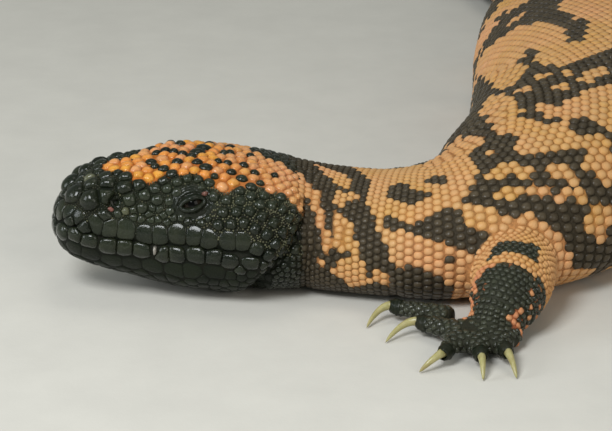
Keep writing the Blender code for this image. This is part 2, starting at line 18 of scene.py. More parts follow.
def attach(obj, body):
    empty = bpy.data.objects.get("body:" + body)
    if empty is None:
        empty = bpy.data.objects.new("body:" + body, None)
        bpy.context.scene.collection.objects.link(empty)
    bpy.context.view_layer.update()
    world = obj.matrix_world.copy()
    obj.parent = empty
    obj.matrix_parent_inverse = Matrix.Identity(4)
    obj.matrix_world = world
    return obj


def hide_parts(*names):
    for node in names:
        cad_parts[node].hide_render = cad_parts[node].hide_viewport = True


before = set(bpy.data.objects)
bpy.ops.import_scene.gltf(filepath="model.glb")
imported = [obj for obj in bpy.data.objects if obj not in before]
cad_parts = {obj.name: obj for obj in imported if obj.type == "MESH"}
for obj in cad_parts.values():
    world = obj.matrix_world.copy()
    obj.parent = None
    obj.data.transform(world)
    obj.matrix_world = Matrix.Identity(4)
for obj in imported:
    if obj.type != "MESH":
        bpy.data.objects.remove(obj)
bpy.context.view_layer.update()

bl_info = {
    "name": "Gila monster",
    "version": (1, 0, 0),
    "blender": (4, 5, 0),
    "location": "3D View > Sidebar > Gila monster",
    "description": "Dresses the Gila monster's solids with skin, beads, eyes and claws",
    "category": "Object",
}

MM = 0.001
SIDES = ((1, "left"), (-1, "right"))
TOTAL_LENGTH = 475.0
HEAD_LENGTH = 61.0
SNOUT_TIP = (-61.6, 0.8)
PLAN_CENTRE = (77.0, 123.0)

# The spine's heading in degrees against its length from the snout: 0 is +X, 90 is +Y
HEADINGS = (
    (0, 12), (56, 12), (66, -6), (78, -10), (88, -7), (98, 7), (110, 29), (122, 46), (138, 58),
    (155, 67), (175, 76.5), (200, 83), (225, 87), (255, 90), (285, 87), (305, 79), (325, 69),
    (350, 56), (380, 36), (410, 12), (440, -12), (475, -36),
)
# Cross-sections: length from the snout, half width, underside, top, height of the widest
# point, and how square the upper and the lower half are
SECTIONS = (
    (0.0, 3.0, 14.2, 21.0, 17.6, 2.0, 2.0), (0.8, 5.8, 12.2, 23.4, 17.8, 2.1, 2.0),
    (2.5, 8.6, 10.2, 26.4, 18.2, 2.2, 2.0), (5.0, 10.6, 8.6, 28.8, 18.4, 2.3, 2.1),
    (9.0, 12.4, 6.8, 31.4, 18.6, 2.3, 2.1), (13.0, 13.6, 5.4, 32.6, 18.6, 2.3, 2.2),
    (18.0, 14.8, 3.8, 33.4, 18.6, 2.4, 2.2), (24.0, 17.0, 2.0, 33.9, 18.4, 2.5, 2.3),
    (30.0, 19.0, 0.7, 34.3, 17.8, 2.5, 2.3), (36.0, 21.0, 0.0, 34.0, 17.2, 2.4, 2.3),
    (42.0, 22.8, -0.6, 33.2, 17.0, 2.3, 2.3), (48.0, 23.8, -0.9, 32.2, 16.8, 2.2, 2.3),
    (54.0, 23.4, -0.9, 31.0, 16.0, 2.1, 2.4), (59.0, 21.2, -0.9, 29.8, 14.6, 2.1, 2.6),
    (63.0, 20.2, -0.9, 28.4, 13.4, 2.1, 2.7), (70.0, 21.2, -0.9, 27.0, 12.6, 2.1, 2.8),
    (80.0, 21.8, -0.9, 26.6, 12.0, 2.1, 2.8), (92.0, 23.8, -0.9, 28.4, 12.4, 2.1, 2.8),
    (106.0, 26.6, -1.0, 33.2, 14.0, 2.1, 2.7), (122.0, 29.6, -1.2, 38.0, 15.5, 2.1, 2.6),
    (142.0, 32.4, -1.4, 41.4, 16.5, 2.1, 2.6), (168.0, 35.6, -1.5, 43.2, 16.5, 2.1, 2.6),
    (200.0, 38.0, -1.5, 44.0, 16.5, 2.1, 2.6), (232.0, 38.2, -1.5, 43.0, 16.0, 2.1, 2.6),
    (260.0, 35.5, -1.4, 41.0, 15.5, 2.1, 2.6), (282.0, 31.0, -1.2, 38.5, 15.5, 2.1, 2.5),
    (300.0, 25.5, -1.0, 34.5, 15.0, 2.1, 2.3), (318.0, 19.0, -0.8, 30.0, 13.5, 2.1, 2.2),
    (335.0, 16.0, -0.6, 27.0, 12.5, 2.1, 2.1), (355.0, 14.8, -0.6, 25.5, 11.8, 2.1, 2.1),
    (385.0, 14.2, -0.6, 24.0, 11.0, 2.0, 2.1), (415.0, 12.8, -0.6, 21.6, 10.0, 2.0, 2.1),
    (440.0, 10.6, -0.5, 18.0, 8.4, 2.0, 2.1), (458.0, 8.2, -0.4, 14.0, 6.6, 2.0, 2.0),
    (469.0, 5.4, 0.6, 10.2, 5.2, 2.0, 2.0), (475.0, 1.8, 2.8, 6.6, 4.6, 2.0, 2.0),
)
# Swellings and hollows of the head: length, side, height, reach, amount outwards
HEAD_FORMS = (
    (47.0, 22.0, 19.0, 11.0, 2.0), (32.0, 17.0, 8.0, 9.0, 1.4), (30.5, 13.5, 31.5, 6.0, 1.5),
    (31.8, 17.5, 26.2, 4.6, -1.6), (22.0, 15.5, 25.0, 5.0, -1.2), (17.0, 9.0, 32.5, 4.5, 1.2),
    (9.5, 9.0, 28.0, 4.2, 1.2), (0.0, 0.0, 21.0, 3.6, 0.8), (0.0, 0.0, 14.5, 3.2, 0.6),
    (40.0, 7.0, 33.0, 8.0, 0.7),
)
LIP_LINE = (
    (-4, 19.8), (0, 20.0), (4, 20.2), (8, 19.2), (12.5, 17.7), (19, 16.8), (28, 16.9), (34, 16.7),
    (40, 16.2), (46, 15.5), (49, 14.4), (51.5, 11.0),
)
EYE_CENTRE = np.array((31.8, 14.4, 26.2))
EYE_RADIUS = 3.2
EYE_FACING = (-0.16, 1.0, 0.34)
NOSTRIL = (13.4, 27.0)
EAR = (58.0, 18.5)
# The fold behind the jaw, as arc and length
JAW_FOLD = ((8, 65), (14, 63), (20, 61), (27, 57), (33, 54), (39, 50), (45, 48), (60, 44))

# Folds of the neck and shoulder: length, how it slants down the side, depth, width
NECK_FOLDS = ((67.5, -0.25, 0.6, 1.3), (84.0, 0.16, 0.5, 1.6), (96.5, 0.12, 0.4, 1.6))

# Limbs: joints with their radii, the sole's centre, and each toe's root, end and claw tip
LIMBS = {
    "front_left": (
        ((51.5, 9, 13.2), (50.5, -17.5, 10.7), (46.5, -27.5, 9.2)), (10.9, 10.3, 9.0), (43.0, -33.0),
        (((35, -25), (22.0, -17.5), (14.5, -22.8)), ((37, -34), (28.0, -27.5), (18.8, -31.7)),
         ((36, -37), (32.4, -44.5), (26.2, -48.8)), ((40, -38), (40.6, -45.8), (40.8, -53.4)),
         ((45, -36), (46.6, -43.6), (48.6, -52.4))),
    ),
    "front_right": (
        ((54, 44, 15), (29, 42.5, 9.0), (14, 47, 7.6)), (10.5, 8.6, 7.2), (4.5, 49.0),
        (((1.5, 45), (-7.5, 41.5), (-14.0, 39.5)), ((0.5, 47), (-11.0, 46.5), (-18.5, 45.5)),
         ((0.5, 50), (-11.5, 52.0), (-19.0, 53.5)), ((1.5, 53), (-7.5, 59.0), (-13.5, 63.5)),
         ((5.5, 55), (3.5, 63.0), (0.0, 69.0))),
    ),
    "hind_left": (
        ((84, 203, 18), (125, 190, 12.8), (141, 211, 9.3)), (13.5, 11.0, 8.4), (149.5, 218.5),
        (((151, 212), (156.0, 203.5), (159.5, 196.5)), ((154, 214), (163.5, 208.0), (170.5, 203.5)),
         ((156, 218), (166.5, 216.5), (174.5, 215.0)), ((155, 222), (164.0, 226.0), (171.5, 229.0)),
         ((150, 224), (154.0, 231.0), (158.0, 238.0))),
    ),
    "hind_right": (
        ((85, 206, 18), (64, 241, 12.4), (59, 266, 9.2)), (13.5, 10.8, 8.2), (54.0, 276.0),
        (((58, 280), (64.0, 287.0), (68.5, 293.0)), ((55, 282), (58.0, 291.0), (60.5, 299.0)),
         ((51, 281), (50.0, 291.0), (49.0, 299.5)), ((48, 278), (42.5, 285.5), (37.5, 292.0)),
         ((47, 273), (39.5, 275.0), (32.5, 277.5))),
    ),
}
SOLE_RADIUS = 8.8
SOLE_HEIGHT = 7.2
TOE_RADII = (3.6, 2.9, 2.3)
TOE_HEIGHTS = (3.6, 3.9, 3.4)
CLAW_GAP = 0.7
# How far the skin of a limb, a toe and a foot's pad lies inside their outlines
LIMB_DEPTH = 0.55
TOE_DEPTH = 0.45
PAD_DEPTH = 0.4
# The lowest that each part comes to the floor, and the same as a limit to points
SKIN_LOWEST = 0.3
SCALE_LOWEST = 0.03
CLAW_LOWEST = 0.04
SHEATH_LOWEST = 0.25
LIMB_LOWEST = (-1e9, -1e9, 0.4)
# A place that is near nothing
FAR_AWAY = (1e6, 0, 0)

# The lining of a nostril or ear, from its rim inwards: size against the opening, and how far out
PIT_PROFILE = ((1.5, -2.7), (1.34, -2.4), (1.2, -2.15), (1.08, -2.0), (0.98, -2.0), (0.9, -2.2))
# How light each ring of the lining is painted, from the rim inwards: painted light where the funnel
# stands out most, painted shade deep inside
PIT_SHADES = (0.2, 0.4, 0.9, 1.0, 0.7, 0.2, 0.0, 0.0)
# The dark cap over a claw's root: how far ahead of the toe's end, and radius
SHEATH_PROFILE = (
    (-1.8, 1.7), (-1.3, 2.1), (-0.85, 1.92), (-0.4, 2.12), (0.0, 1.93), (0.45, 1.98),
    (0.9, 1.76), (1.35, 1.62), (1.75, 1.34), (1.65, 1.2), (0.9, 1.1),
)
# How light each ring of the cap is painted: painted light on its ridges, painted shade in the grooves
# between them
SHEATH_SHADES = (0.2, 0.8, 0.3, 1.0, 0.3, 0.9, 0.3, 0.7, 0.4, 0.2, 0.1)

# Size of a scale against length from the snout, on the trunk and tail
BEAD_SIZES = (
    (58, 1.7), (72, 1.78), (92, 2.05), (108, 2.4), (130, 2.65), (180, 2.9), (290, 2.85), (330, 2.65),
    (400, 2.4), (450, 1.9), (475, 1.3),
)

# Markings as outlines in length and arc. Pale ones on the black neck:
NECK_PALE = (
    ((58, 2), (62, 6), (67, 11), (70, 19), (73.2, 26), (71, 28), (68, 20), (64.4, 14), (60, 10.4)),
    ((63.5, -6), (69, -4), (75, 2), (75, 8), (72, 7), (68, 1)),
    ((66, 9), (68.5, 12), (67, 14), (65.5, 11)),
    ((71.8, 9), (74, 9.5), (75, 13), (73.8, 15), (71.8, 13)),
    ((75, 8.6), (78, 9), (78.4, 12), (75.2, 12.4)),
    ((71.4, 15.6), (74.5, 16), (78, 21), (79, 25), (80.5, 29), (82.6, 34), (78.5, 37.5),
     (75, 34), (71.5, 32), (74, 29), (77.6, 27), (73.6, 25.4)),
    ((82.6, 30.6), (84.6, 31.4), (86.8, 34), (86, 37), (83.6, 35)),
    ((68.4, 28.6), (70.6, 30), (69.6, 31.6), (67.8, 30.6)),
)
# Where the pale shoulder begins, as length against arc
SHOULDER_EDGE = (
    (-60, 84), (-40, 78), (-22, 74), (-11, 71), (-9, 73), (-1, 78), (5, 80), (12, 80), (17, 82),
    (22, 84), (29, 87), (31, 88), (32, 90), (36, 94), (39, 96), (47, 97), (60, 97),
)
SHOULDER_BLACK = (
    ((83.5, 7), (86.5, 3.6), (89.4, 5.6), (91, 9.6), (93.6, 11.4), (92, 13.6), (90, 15.4),
     (87, 12.6), (84, 10.4)),
    ((92.6, 4), (95.6, 3.6), (97.4, 7), (96.2, 9.4), (93.6, 7.4)),
    ((83.6, 18), (86, 16.6), (88.4, 19), (91, 21), (93.6, 18.8), (95.2, 16.6), (97.4, 18),
     (98.6, 22), (99.4, 25), (101.4, 27), (102.6, 30), (105, 31.6), (107, 33), (109, 34),
     (109, 37), (107, 38.6), (104.4, 38.4), (101.6, 36.4), (99.4, 31.4), (97.6, 29.4),
     (95.4, 26.4), (92, 24.4), (88, 21.6), (85, 20.6)),
    ((95.4, 30.6), (97, 31), (96.6, 32.8), (95.2, 32.2)),
    ((87.6, 37), (88.6, 33), (90, 30.6), (93.4, 33), (95, 36), (97, 38.6), (96, 42), (91, 44)),
)
# Where the black of the foreback begins, and the pale marks inside it
FOREBACK_EDGE = (
    (-60, 118), (-30, 116), (-10, 110), (-6, 111.5), (-2, 105.5), (0, 103), (7, 103), (12, 102),
    (15, 100), (17, 99), (20, 101), (22, 103.4), (25, 104.8), (26, 108), (28, 108.6), (31, 110),
    (34, 112), (40, 113), (45, 114), (49, 118), (60, 122),
)
BACK_PALE = (
    ((103, 10), (107, 9), (110, 11), (112, 16), (110.6, 18), (108, 14.6), (105.6, 13.6)),
    ((113.6, 17), (116, 16), (117.6, 19), (117.8, 24.6), (116, 24), (115, 21), (113.4, 19.6)),
    ((117.8, 30), (119.6, 32), (122, 34), (120.6, 38), (119.6, 42), (117.6, 39.6), (115.6, 35)),
    ((120, 22), (122, 18.6), (128, 20), (127, 29), (122, 28.6), (120.6, 25)),
    ((146, -27), (143, -22), (135, -14), (130, -9), (126, -5), (122, -5), (124, 1), (124, 5),
     (128, 8), (125, 12), (126, 15), (130, 18), (130, 20), (126, 24), (122, 21), (123, 19),
     (122, 16), (118, 14), (114, 12), (112, 7), (114, 3), (116, 3), (114, -3), (116, -8),
     (120, -13), (130, -22)),
    ((128, -2), (132, -4), (132, 2), (136, 3), (146, 5), (150, 8), (148, 14), (133, 19),
     (132, 13), (130, 9), (128, 6), (126, 2)),
    ((149, -1), (154, -1), (160, 2), (157, 4), (152, 5), (146, 2)),
    ((206, -44), (211, -37), (210, -28), (200, -18), (186, -12), (177, -11), (176, -7), (183, -6),
     (194, -7), (199, -11), (212, -15), (224, -14), (224, 0), (172, 2), (164, -2), (157, -8),
     (158, -13), (165, -18), (174, -19), (181, -21), (172, -24), (162, -20), (154, -18),
     (144, -20), (149, -24), (160, -31), (186, -39)),
)
# Where the marks drawn above give way to bands, as arc and length
KNOWN_MARKS_END = (
    (-50, 140), (-46, 170), (-36, 216), (0, 222), (10, 168), (30, 126), (60, 124),
)
BACK_PALE_BEADS = (
    (105, 18), (107, 19.4), (110, 20.6), (111.6, 22.6), (114, 25.4), (116.4, 27.4), (140, -13),
    (142, -3.4), (108, 3), (108, -4), (102.6, -1), (100, -2), (150, -11), (152, -5), (109, -13),
)
# The crown's pale edge as length against arc on each side, and its back edge as arc, length
CROWN_EDGE_LEFT = (
    (10.6, 0), (11.5, 1.3), (12.5, 2.2), (14, 3.6), (17, 7.6), (18.5, 10.5), (20, 11.6),
    (24.5, 11.4), (26, 10.2), (27.5, 11.4), (33, 11.4), (35, 14.4), (38.5, 17.4), (40, 18),
    (43.5, 16.4), (47, 15.4), (52, 16.2), (54, 17.5), (56.5, 19.3), (60, 20),
)
CROWN_EDGE_RIGHT = (
    (10.6, 0), (12.5, 4.4), (14.6, 5.2), (15.6, 2.4), (19.6, 1.2), (21, 4), (23, 9), (27, 11.6),
    (31, 11), (34, 13.6), (39, 18), (45, 16.2), (51, 16.6), (55, 18.5), (60, 20),
)
CROWN_BACK = ((-20, 54), (-12, 50.6), (-3.8, 52), (-0.6, 54.5), (1.6, 57), (5.9, 59.4), (10.2, 62))
# Small black scales on the crown: length, arc, size
CROWN_BLACK = (
    (26.0, -3.4, 1.9), (28.3, -4.4, 2.2), (30.2, -2.8, 2.0), (32.0, -0.6, 1.9), (34.0, 1.4, 2.2),
    (36.0, -1.4, 3.0), (38.0, -4.6, 3.2), (29.8, 4.6, 2.3), (23.6, 2.3, 2.2), (24.2, 5.2, 1.8),
    (26.0, 7.2, 2.2), (27.4, 10.2, 2.4), (34.6, 5.8, 2.1), (36.4, 8.8, 2.6), (40.0, 5.4, 1.6),
    (42.2, 6.0, 1.8), (42.8, -1.5, 2.0), (44.4, -2.2, 1.8), (42.4, 10.4, 1.9), (44.6, 12.6, 2.2),
    (46.4, 5.8, 1.9), (37.8, 12.6, 1.7), (48.4, 9.2, 1.8), (33.0, -9.0, 2.2), (40.5, -9.5, 2.2),
    (45.5, -8.0, 2.0), (25.5, -8.5, 2.0), (49.5, -2.0, 1.8), (49.0, 13.6, 1.6), (53.4, 9.0, 1.6),
)
# Named scales on each side of the snout: length, arc, half length, half height, how proud
SNOUT_SCALES = (
    (4.0, 4.2, 3.1, 2.9, 1.7), (7.2, 10.2, 3.3, 3.1, 2.0), (11.0, 11.6, 2.1, 2.2, 1.6),
    (12.0, 8.0, 2.2, 2.0, 1.4), (15.8, 11.2, 2.1, 2.0, 1.3), (8.2, 5.4, 2.3, 2.0, 1.3),
    (12.0, 4.8, 2.0, 1.8, 1.0), (2.6, 9.6, 2.2, 1.8, 0.8), (16.4, 7.8, 1.9, 1.7, 1.1),
    (16.6, 15.0, 1.6, 1.8, 0.9), (10.6, 16.8, 2.2, 1.5, 0.8), (19.4, 11.6, 1.7, 1.7, 1.0),
    (5.4, 15.6, 2.4, 2.0, 0.9), (20.4, 14.6, 1.5, 1.5, 0.9), (19.6, 17.8, 1.4, 1.3, 0.8),
    (23.0, 16.6, 1.5, 1.3, 0.8), (22.8, 13.4, 1.5, 1.4, 0.9),
)
# Single lighter scales on the left of the face: length, arc, half length, half height, how
# proud, and the colour's name
LIGHT_SPOTS = (
    (12.2, 15.3, 0.85, 0.7, 0.6, "blush"), (34.6, 18.2, 0.9, 0.7, 1.5, "blush"),
    (22.0, 28.9, 0.45, 1.8, 1.0, "chalk"), (8.2, 3.0, 1.9, 1.5, 1.3, "granule"),
    (15.6, 17.4, 1.2, 1.1, 0.8, "granule"),
)
# Rows of plates along each lip: height over the mouth's line, spacing, first length, last
# length, height, how proud, how flat
LIP_ROWS = (
    (2.95, 4.1, 6.0, 46.0, 3.3, 0.22, 3.4), (-2.45, 4.4, 5.4, 47.0, 2.6, 0.72, 2.7),
    (-6.9, 5.2, 5.0, 40.0, 2.6, 0.16, 5.0),
)
LIP_SQUARE = 2.9
# Shapes of the scales of head, crown, temple, chin, cheek, belly, limb and toe: half length, half
# width and height against the spacing, then flatness, squareness, lean and gap
SHAPE_KEYS = ("long", "wide", "high", "flat", "square", "tilt", "gap")
ZONE_SHAPES = (
    (0.70, 0.66, 0.30, 2.4, 2.3, 0.1, 0.04), (0.62, 0.60, 0.34, 2.1, 2.1, 0.0, 0.08),
    (0.60, 0.58, 0.34, 2.3, 2.0, 0.0, 0.40), (0.66, 0.66, 0.09, 5.0, 3.0, 0.0, 0.09),
    (0.60, 0.58, 0.28, 2.2, 2.1, 0.0, 0.08), (0.66, 0.66, 0.10, 6.0, 4.0, 0.0, 0.14),
    (0.62, 0.82, 0.30, 2.2, 2.4, 0.6, 0.07), (0.66, 1.3, 0.30, 2.4, 2.6, 0.5, 0.09),
)
# Ridge scales over each eye, in the same order as those of the snout
BROW_SCALES = (
    (25.6, 14.6, 1.5, 1.3, 1.0), (28.2, 13.8, 1.5, 1.3, 1.1), (30.9, 13.4, 1.5, 1.3, 1.1),
    (33.6, 13.8, 1.5, 1.3, 1.0), (36.2, 14.8, 1.5, 1.4, 0.9),
)

# The lids' section: distance beyond the eye's opening, how far the lower and the upper lid
# stand out there, and how light the skin is painted: painted light on the crests of the rim and
# folds, painted shade in the creases and where the lid meets the eye
LID_PROFILE = (
    (-0.35, -0.9, -0.9, 0.0), (-0.12, -0.1, -0.1, 0.1), (0.0, 0.22, 0.25, 0.3),
    (0.25, 0.66, 0.70, 0.7), (0.6, 0.98, 0.94, 1.0), (0.95, 0.88, 0.72, 0.9),
    (1.2, 0.46, 0.20, 0.4), (1.38, 0.08, -0.04, 0.2), (1.6, 0.14, 0.42, 0.7),
    (1.95, 0.20, 0.66, 0.9), (2.25, 0.06, 0.36, 0.6), (2.45, -0.06, 0.04, 0.2),
    (2.75, 0.10, 0.34, 0.7), (3.05, 0.02, 0.30, 0.7), (3.3, -0.12, 0.0, 0.4),
    (3.6, -0.8, -0.8, 0.1),
)

# Random places tried on the body, the head and the face, and the space for a granule
BODY_SAMPLES = 150000
HEAD_SAMPLES = 50000
GRANULE_SAMPLES = 130000
GRANULE_SPACING = 0.48
# Kinds of scale: named ones of the head, rows on the limbs, and beads
NAMED, LIMB_ROW, BEAD = 2, 1, 0

# Finishes of horn: roughness, coat, the coat's roughness, how far the root is darkened by painted
# shade and dirt and the top lightened by painted light, the colours of the shaded root, the lit
# top and dirt, and how deep the grain is
FINISHES = {
    "black_scales": (0.36, 0.4, 0.14, 0.6, 0.22, (0.010, 0.008, 0.006), (0.085, 0.070, 0.050),
                     (0.060, 0.045, 0.028), 0.35),
    "glossy_black_scales": (0.30, 1.0, 0.12, 0.7, 0.2, (0.004, 0.006, 0.003),
                            (0.014, 0.018, 0.012), (0.034, 0.038, 0.018), 1.0),
    "dull_black_scales": (0.5, 0.3, 0.3, 0.7, 0.2, (0.002, 0.003, 0.0015),
                          (0.012, 0.015, 0.009), (0.016, 0.019, 0.008), 0.8),
    "peach_scales": (0.42, 0.2, 0.2, 0.35, 0.25, (0.52, 0.25, 0.10), (0.78, 0.52, 0.30),
                     (0.56, 0.30, 0.12), 0.3),
    "orange_scales": (0.34, 1.0, 0.10, 0.6, 0.2, (0.42, 0.11, 0.03), (0.82, 0.44, 0.16),
                      (0.58, 0.26, 0.04), 0.8),
    "smooth_black_skin": (0.32, 0.7, 0.09, 0.3, 0.2, (0.004, 0.004, 0.003),
                          (0.024, 0.028, 0.025), (0.03, 0.03, 0.02), 0.3),
    "claw_sheaths": (0.4, 0.3, 0.2, 0.3, 0.3, (0.006, 0.006, 0.005), (0.05, 0.055, 0.045),
                     (0.04, 0.036, 0.024), 0.35),
}
SCALE_FINISHES = (
    "black_scales", "glossy_black_scales", "dull_black_scales", "peach_scales", "orange_scales",
)
# The pale and the dark finish of a region, where they aren't the body's own
REGION_FINISHES = {
    "head": ("orange_scales", "glossy_black_scales"),
    "chin": ("peach_scales", "dull_black_scales"),
    "forelimb": ("peach_scales", "glossy_black_scales"),
    "hindlimb": ("peach_scales", "glossy_black_scales"),
}
BODY_FINISHES = ("peach_scales", "black_scales")
# Lengths of the body between which the scales are one piece
BODY_REGIONS = (
    ("neck", 60, 104), ("chest", 104, 160), ("trunk", 160, 236), ("hips", 236, 312),
    ("tail", 312, 500),
)
# The skin's colour against that of the scales on it: its own pinker tone, and painted shade in the
# furrows between the scales
PALE_SKIN_SHADE = (0.88, 0.74, 0.62)
DARK_SKIN_SHADE = (0.7, 0.7, 0.7)
# What a dome is made from, and how far a scale's bake places reach round its root
DOME_KEYS = (
    "points", "normal", "along", "across", "outline", "high", "flat", "tilt", "bake", "tint",
)
BAKE_REACH = 0.0015
# How far out the rings of a dome lie: large scales of the head, beads, and granules
HEAD_DOME = (1.0, 0.97, 0.86, 0.66, 0.34)
BEAD_DOME = (1.0, 0.92, 0.6)
GRANULE_DOME = (1.0, 0.7)

# Soft lights: name, place in metres, width, share of the main light's power, colour
LIGHTS = (
    ("key_light", (-0.30, -0.60, 0.56), 0.26, 1.0, (0.95, 0.98, 1.0)),
    ("top_light", (-0.02, 0.02, 0.8), 0.35, 0.15, (1.0, 0.96, 0.88)),
    ("side_light", (-0.78, -0.34, 0.30), 0.34, 0.50, (0.92, 0.97, 1.0)),
    ("fill_light", (0.45, -0.75, 0.4), 0.5, 0.40, (1.0, 0.95, 0.85)),
)
WORLD_COLOUR = (0.80, 0.86, 0.82, 1)
WORLD_STRENGTH = 0.26
FLOOR_REACH = 6.0
CAMERA_FOCUS = (-0.077, -0.123, 0.0205)
CAMERA_RISE = math.radians(21.0)
CAMERA_DISTANCE = 0.7

# What one operator makes and a later one needs: the skin's mesh, points, normals and trees
MADE = {}


# Curves and places


def monotone(table, column):
    """A smooth curve through one column of a table that never overshoots its values."""
    at = np.array([row[0] for row in table], float)
    value = np.array([row[column] for row in table], float)
    step = np.diff(at)
    slope = np.diff(value) / step
    both = slope[:-1] + slope[1:]
    inner = np.where(
        slope[:-1] * slope[1:] > 0, 2 * slope[:-1] * slope[1:] / np.where(both == 0, 1, both), 0.0
    )
    grade = np.concatenate([[slope[0]], inner, [slope[-1]]])

    def curve(s):
        s = np.asarray(s, float)
        k = np.clip(np.searchsorted(at, s) - 1, 0, len(step) - 1)
        t = (s - at[k]) / step[k]
        return (
            value[k] * (1 + 2 * t) * (1 - t) ** 2
            + grade[k] * step[k] * t * (1 - t) ** 2
            + value[k + 1] * t * t * (3 - 2 * t)
            + grade[k + 1] * step[k] * t * t * (t - 1)
        )

    return curve


heading_at = monotone(HEADINGS, 1)
SECTION_CURVES = [monotone(SECTIONS, column) for column in range(1, 7)]


def spine_table(step=0.25, before=10.0):
    """The spine's plan, added up from its heading in short steps, from just before the snout."""
    s = np.arange(-before, TOTAL_LENGTH + before, step)
    angle = np.radians(heading_at(s + step / 2))
    x = np.concatenate([[0], np.cumsum(np.cos(angle) * step)[:-1]])
    y = np.concatenate([[0], np.cumsum(np.sin(angle) * step)[:-1]])
    tip = round(before / step)
    return s, x - x[tip] + SNOUT_TIP[0], y - y[tip] + SNOUT_TIP[1]


SPINE_S, SPINE_X, SPINE_Y = spine_table()


def spine_at(s):
    """The spine's plan point and its heading as a direction."""
    angle = np.radians(heading_at(s))
    centre = np.stack([np.interp(s, SPINE_S, SPINE_X), np.interp(s, SPINE_S, SPINE_Y)], -1)
    return centre, np.stack([np.cos(angle), np.sin(angle)], -1)


def placed(s, side, height):
    """Millimetres on the plan of a point given along the spine, to the left, and in height."""
    centre, ahead = spine_at(s)
    x = centre[..., 0] + side * ahead[..., 1]
    y = centre[..., 1] - side * ahead[..., 0]
    return np.stack(np.broadcast_arrays(x, y, height), -1)


def smooth_step(value, low, high):
    """A soft rise from 0 to 1 between two values."""
    t = np.clip((value - low) / (high - low), 0, 1)
    return t * t * (3 - 2 * t)


def hump(away, width):
    """A soft hump of height 1, by the distance from its middle."""
    return np.exp(-((away / width) ** 2))


def read_off(table, at):
    """A value between the rows of a table of two columns."""
    return np.interp(at, *np.array(table, float).T)


def full_turn(count):
    """Evenly spaced angles once round."""
    return 2 * math.pi * np.arange(count) / count


def ring_of(turn, level, upright):
    """Directions round a circle in the plane of two others."""
    return np.cos(turn)[:, None] * level + np.sin(turn)[:, None] * upright


def unit(way):
    """The same direction with a length of one."""
    return way / np.linalg.norm(way)


def kd_tree(points):
    """Points sorted so that near ones are found fast."""
    tree = KDTree(len(points))
    for k, p in enumerate(points):
        tree.insert(p, k)
    tree.balance()
    return tree


def section(s, angle, grow=0.0):
    """Side and height of the body's outline, where angle 0 is the left side and 90 the top."""
    half, under, top, widest, square_up, square_down = [curve(s) for curve in SECTION_CURVES]
    cosine, sine = np.cos(angle), np.sin(angle)
    up = sine >= 0
    rise = np.where(up, top - widest, widest - under) + grow
    power = np.where(up, square_up, square_down)
    reach = (
        np.abs(cosine / (half + grow)) ** power + np.abs(sine / rise) ** power
    ) ** (-1 / power)
    return reach * cosine, widest + reach * sine


def head_swelling(s, side, height):
    """How far the head's forms push its outline out or in at a point."""
    total = np.zeros(np.broadcast(s, side, height).shape)
    for at_s, at_side, at_height, reach, amount in HEAD_FORMS:
        away = (s - at_s) ** 2 + (np.abs(side) - at_side) ** 2 + (height - at_height) ** 2
        total += amount * np.exp(-away / reach**2)
    return total


def outline(s, angle, grow=0.0):
    """Side and height of the body with the head's forms."""
    side, height = section(s, angle, grow)
    swell = head_swelling(s, side, height) * (1 - smooth_step(s, HEAD_LENGTH + 2, HEAD_LENGTH + 8))
    return side + swell * np.cos(angle), height + swell * np.sin(angle)


def rounded(knots, values, at):
    """A run of straight lines, averaged so that each joint is a curve."""
    reach = np.minimum(0.17 * knots[-1], np.minimum(at - knots[0], knots[-1] - at))
    return np.mean([np.interp(at + reach * k, knots, values) for k in np.linspace(-1, 1, 15)], 0)


ARC_STEP = 2.5
ARC_S = np.arange(0.0, TOTAL_LENGTH + 0.1, ARC_STEP)
ARC_ANGLES = np.radians(np.linspace(-90, 270, 241))
ARC_SIDE, ARC_HEIGHT = (
    np.array(rows) for rows in zip(*[outline(s, ARC_ANGLES) for s in ARC_S])
)


def arc_table():
    """Arc length from the middle of the back, for each cross-section and angle."""
    floor = np.maximum(ARC_HEIGHT, 0)
    step = np.hypot(np.diff(ARC_SIDE, axis=1), np.diff(floor, axis=1))
    run = np.concatenate([np.zeros((len(ARC_S), 1)), np.cumsum(step, 1)], 1)
    top = np.argmin(np.abs(ARC_ANGLES - math.pi / 2))
    return run[:, top : top + 1] - run


ARC = arc_table()


def table_value(table, s, angle):
    """A value between the entries of a table over length and angle."""
    u = np.clip(s / ARC_STEP, 0, len(ARC_S) - 1.001)
    v = (angle - ARC_ANGLES[0]) / (ARC_ANGLES[1] - ARC_ANGLES[0])
    v = np.clip(v, 0, len(ARC_ANGLES) - 1.001)
    i, j = u.astype(int), v.astype(int)
    fu, fv = u - i, v - j
    return (
        table[i, j] * (1 - fu) * (1 - fv) + table[i + 1, j] * fu * (1 - fv)
        + table[i, j + 1] * (1 - fu) * fv + table[i + 1, j + 1] * fu * fv
    )


def body_place(points):
    """Length, side, height, angle and arc of points near the body."""
    xy = points[:, :2]
    coarse = np.arange(0, len(SPINE_S), 8)
    s = np.empty(len(points))
    for k in range(0, len(points), 20000):
        part = xy[k : k + 20000]
        away = (part[:, 0:1] - SPINE_X[coarse]) ** 2 + (part[:, 1:2] - SPINE_Y[coarse]) ** 2
        s[k : k + 20000] = SPINE_S[coarse][np.argmin(away, 1)]
    for _ in range(4):
        centre, ahead = spine_at(s)
        s = np.clip(s + np.sum((xy - centre) * ahead, 1) * 0.9, -4, TOTAL_LENGTH + 4)
    centre, ahead = spine_at(s)
    rest = xy - centre
    side = rest[:, 0] * ahead[:, 1] - rest[:, 1] * ahead[:, 0]
    height = points[:, 2]
    widest = SECTION_CURVES[3](np.clip(s, 0, TOTAL_LENGTH))
    angle = np.arctan2(height - widest, side)
    angle = np.where(angle < -math.pi / 2, angle + 2 * math.pi, angle)
    arc = table_value(ARC, np.clip(s, 0, TOTAL_LENGTH), angle)
    return s, side, height, angle, arc


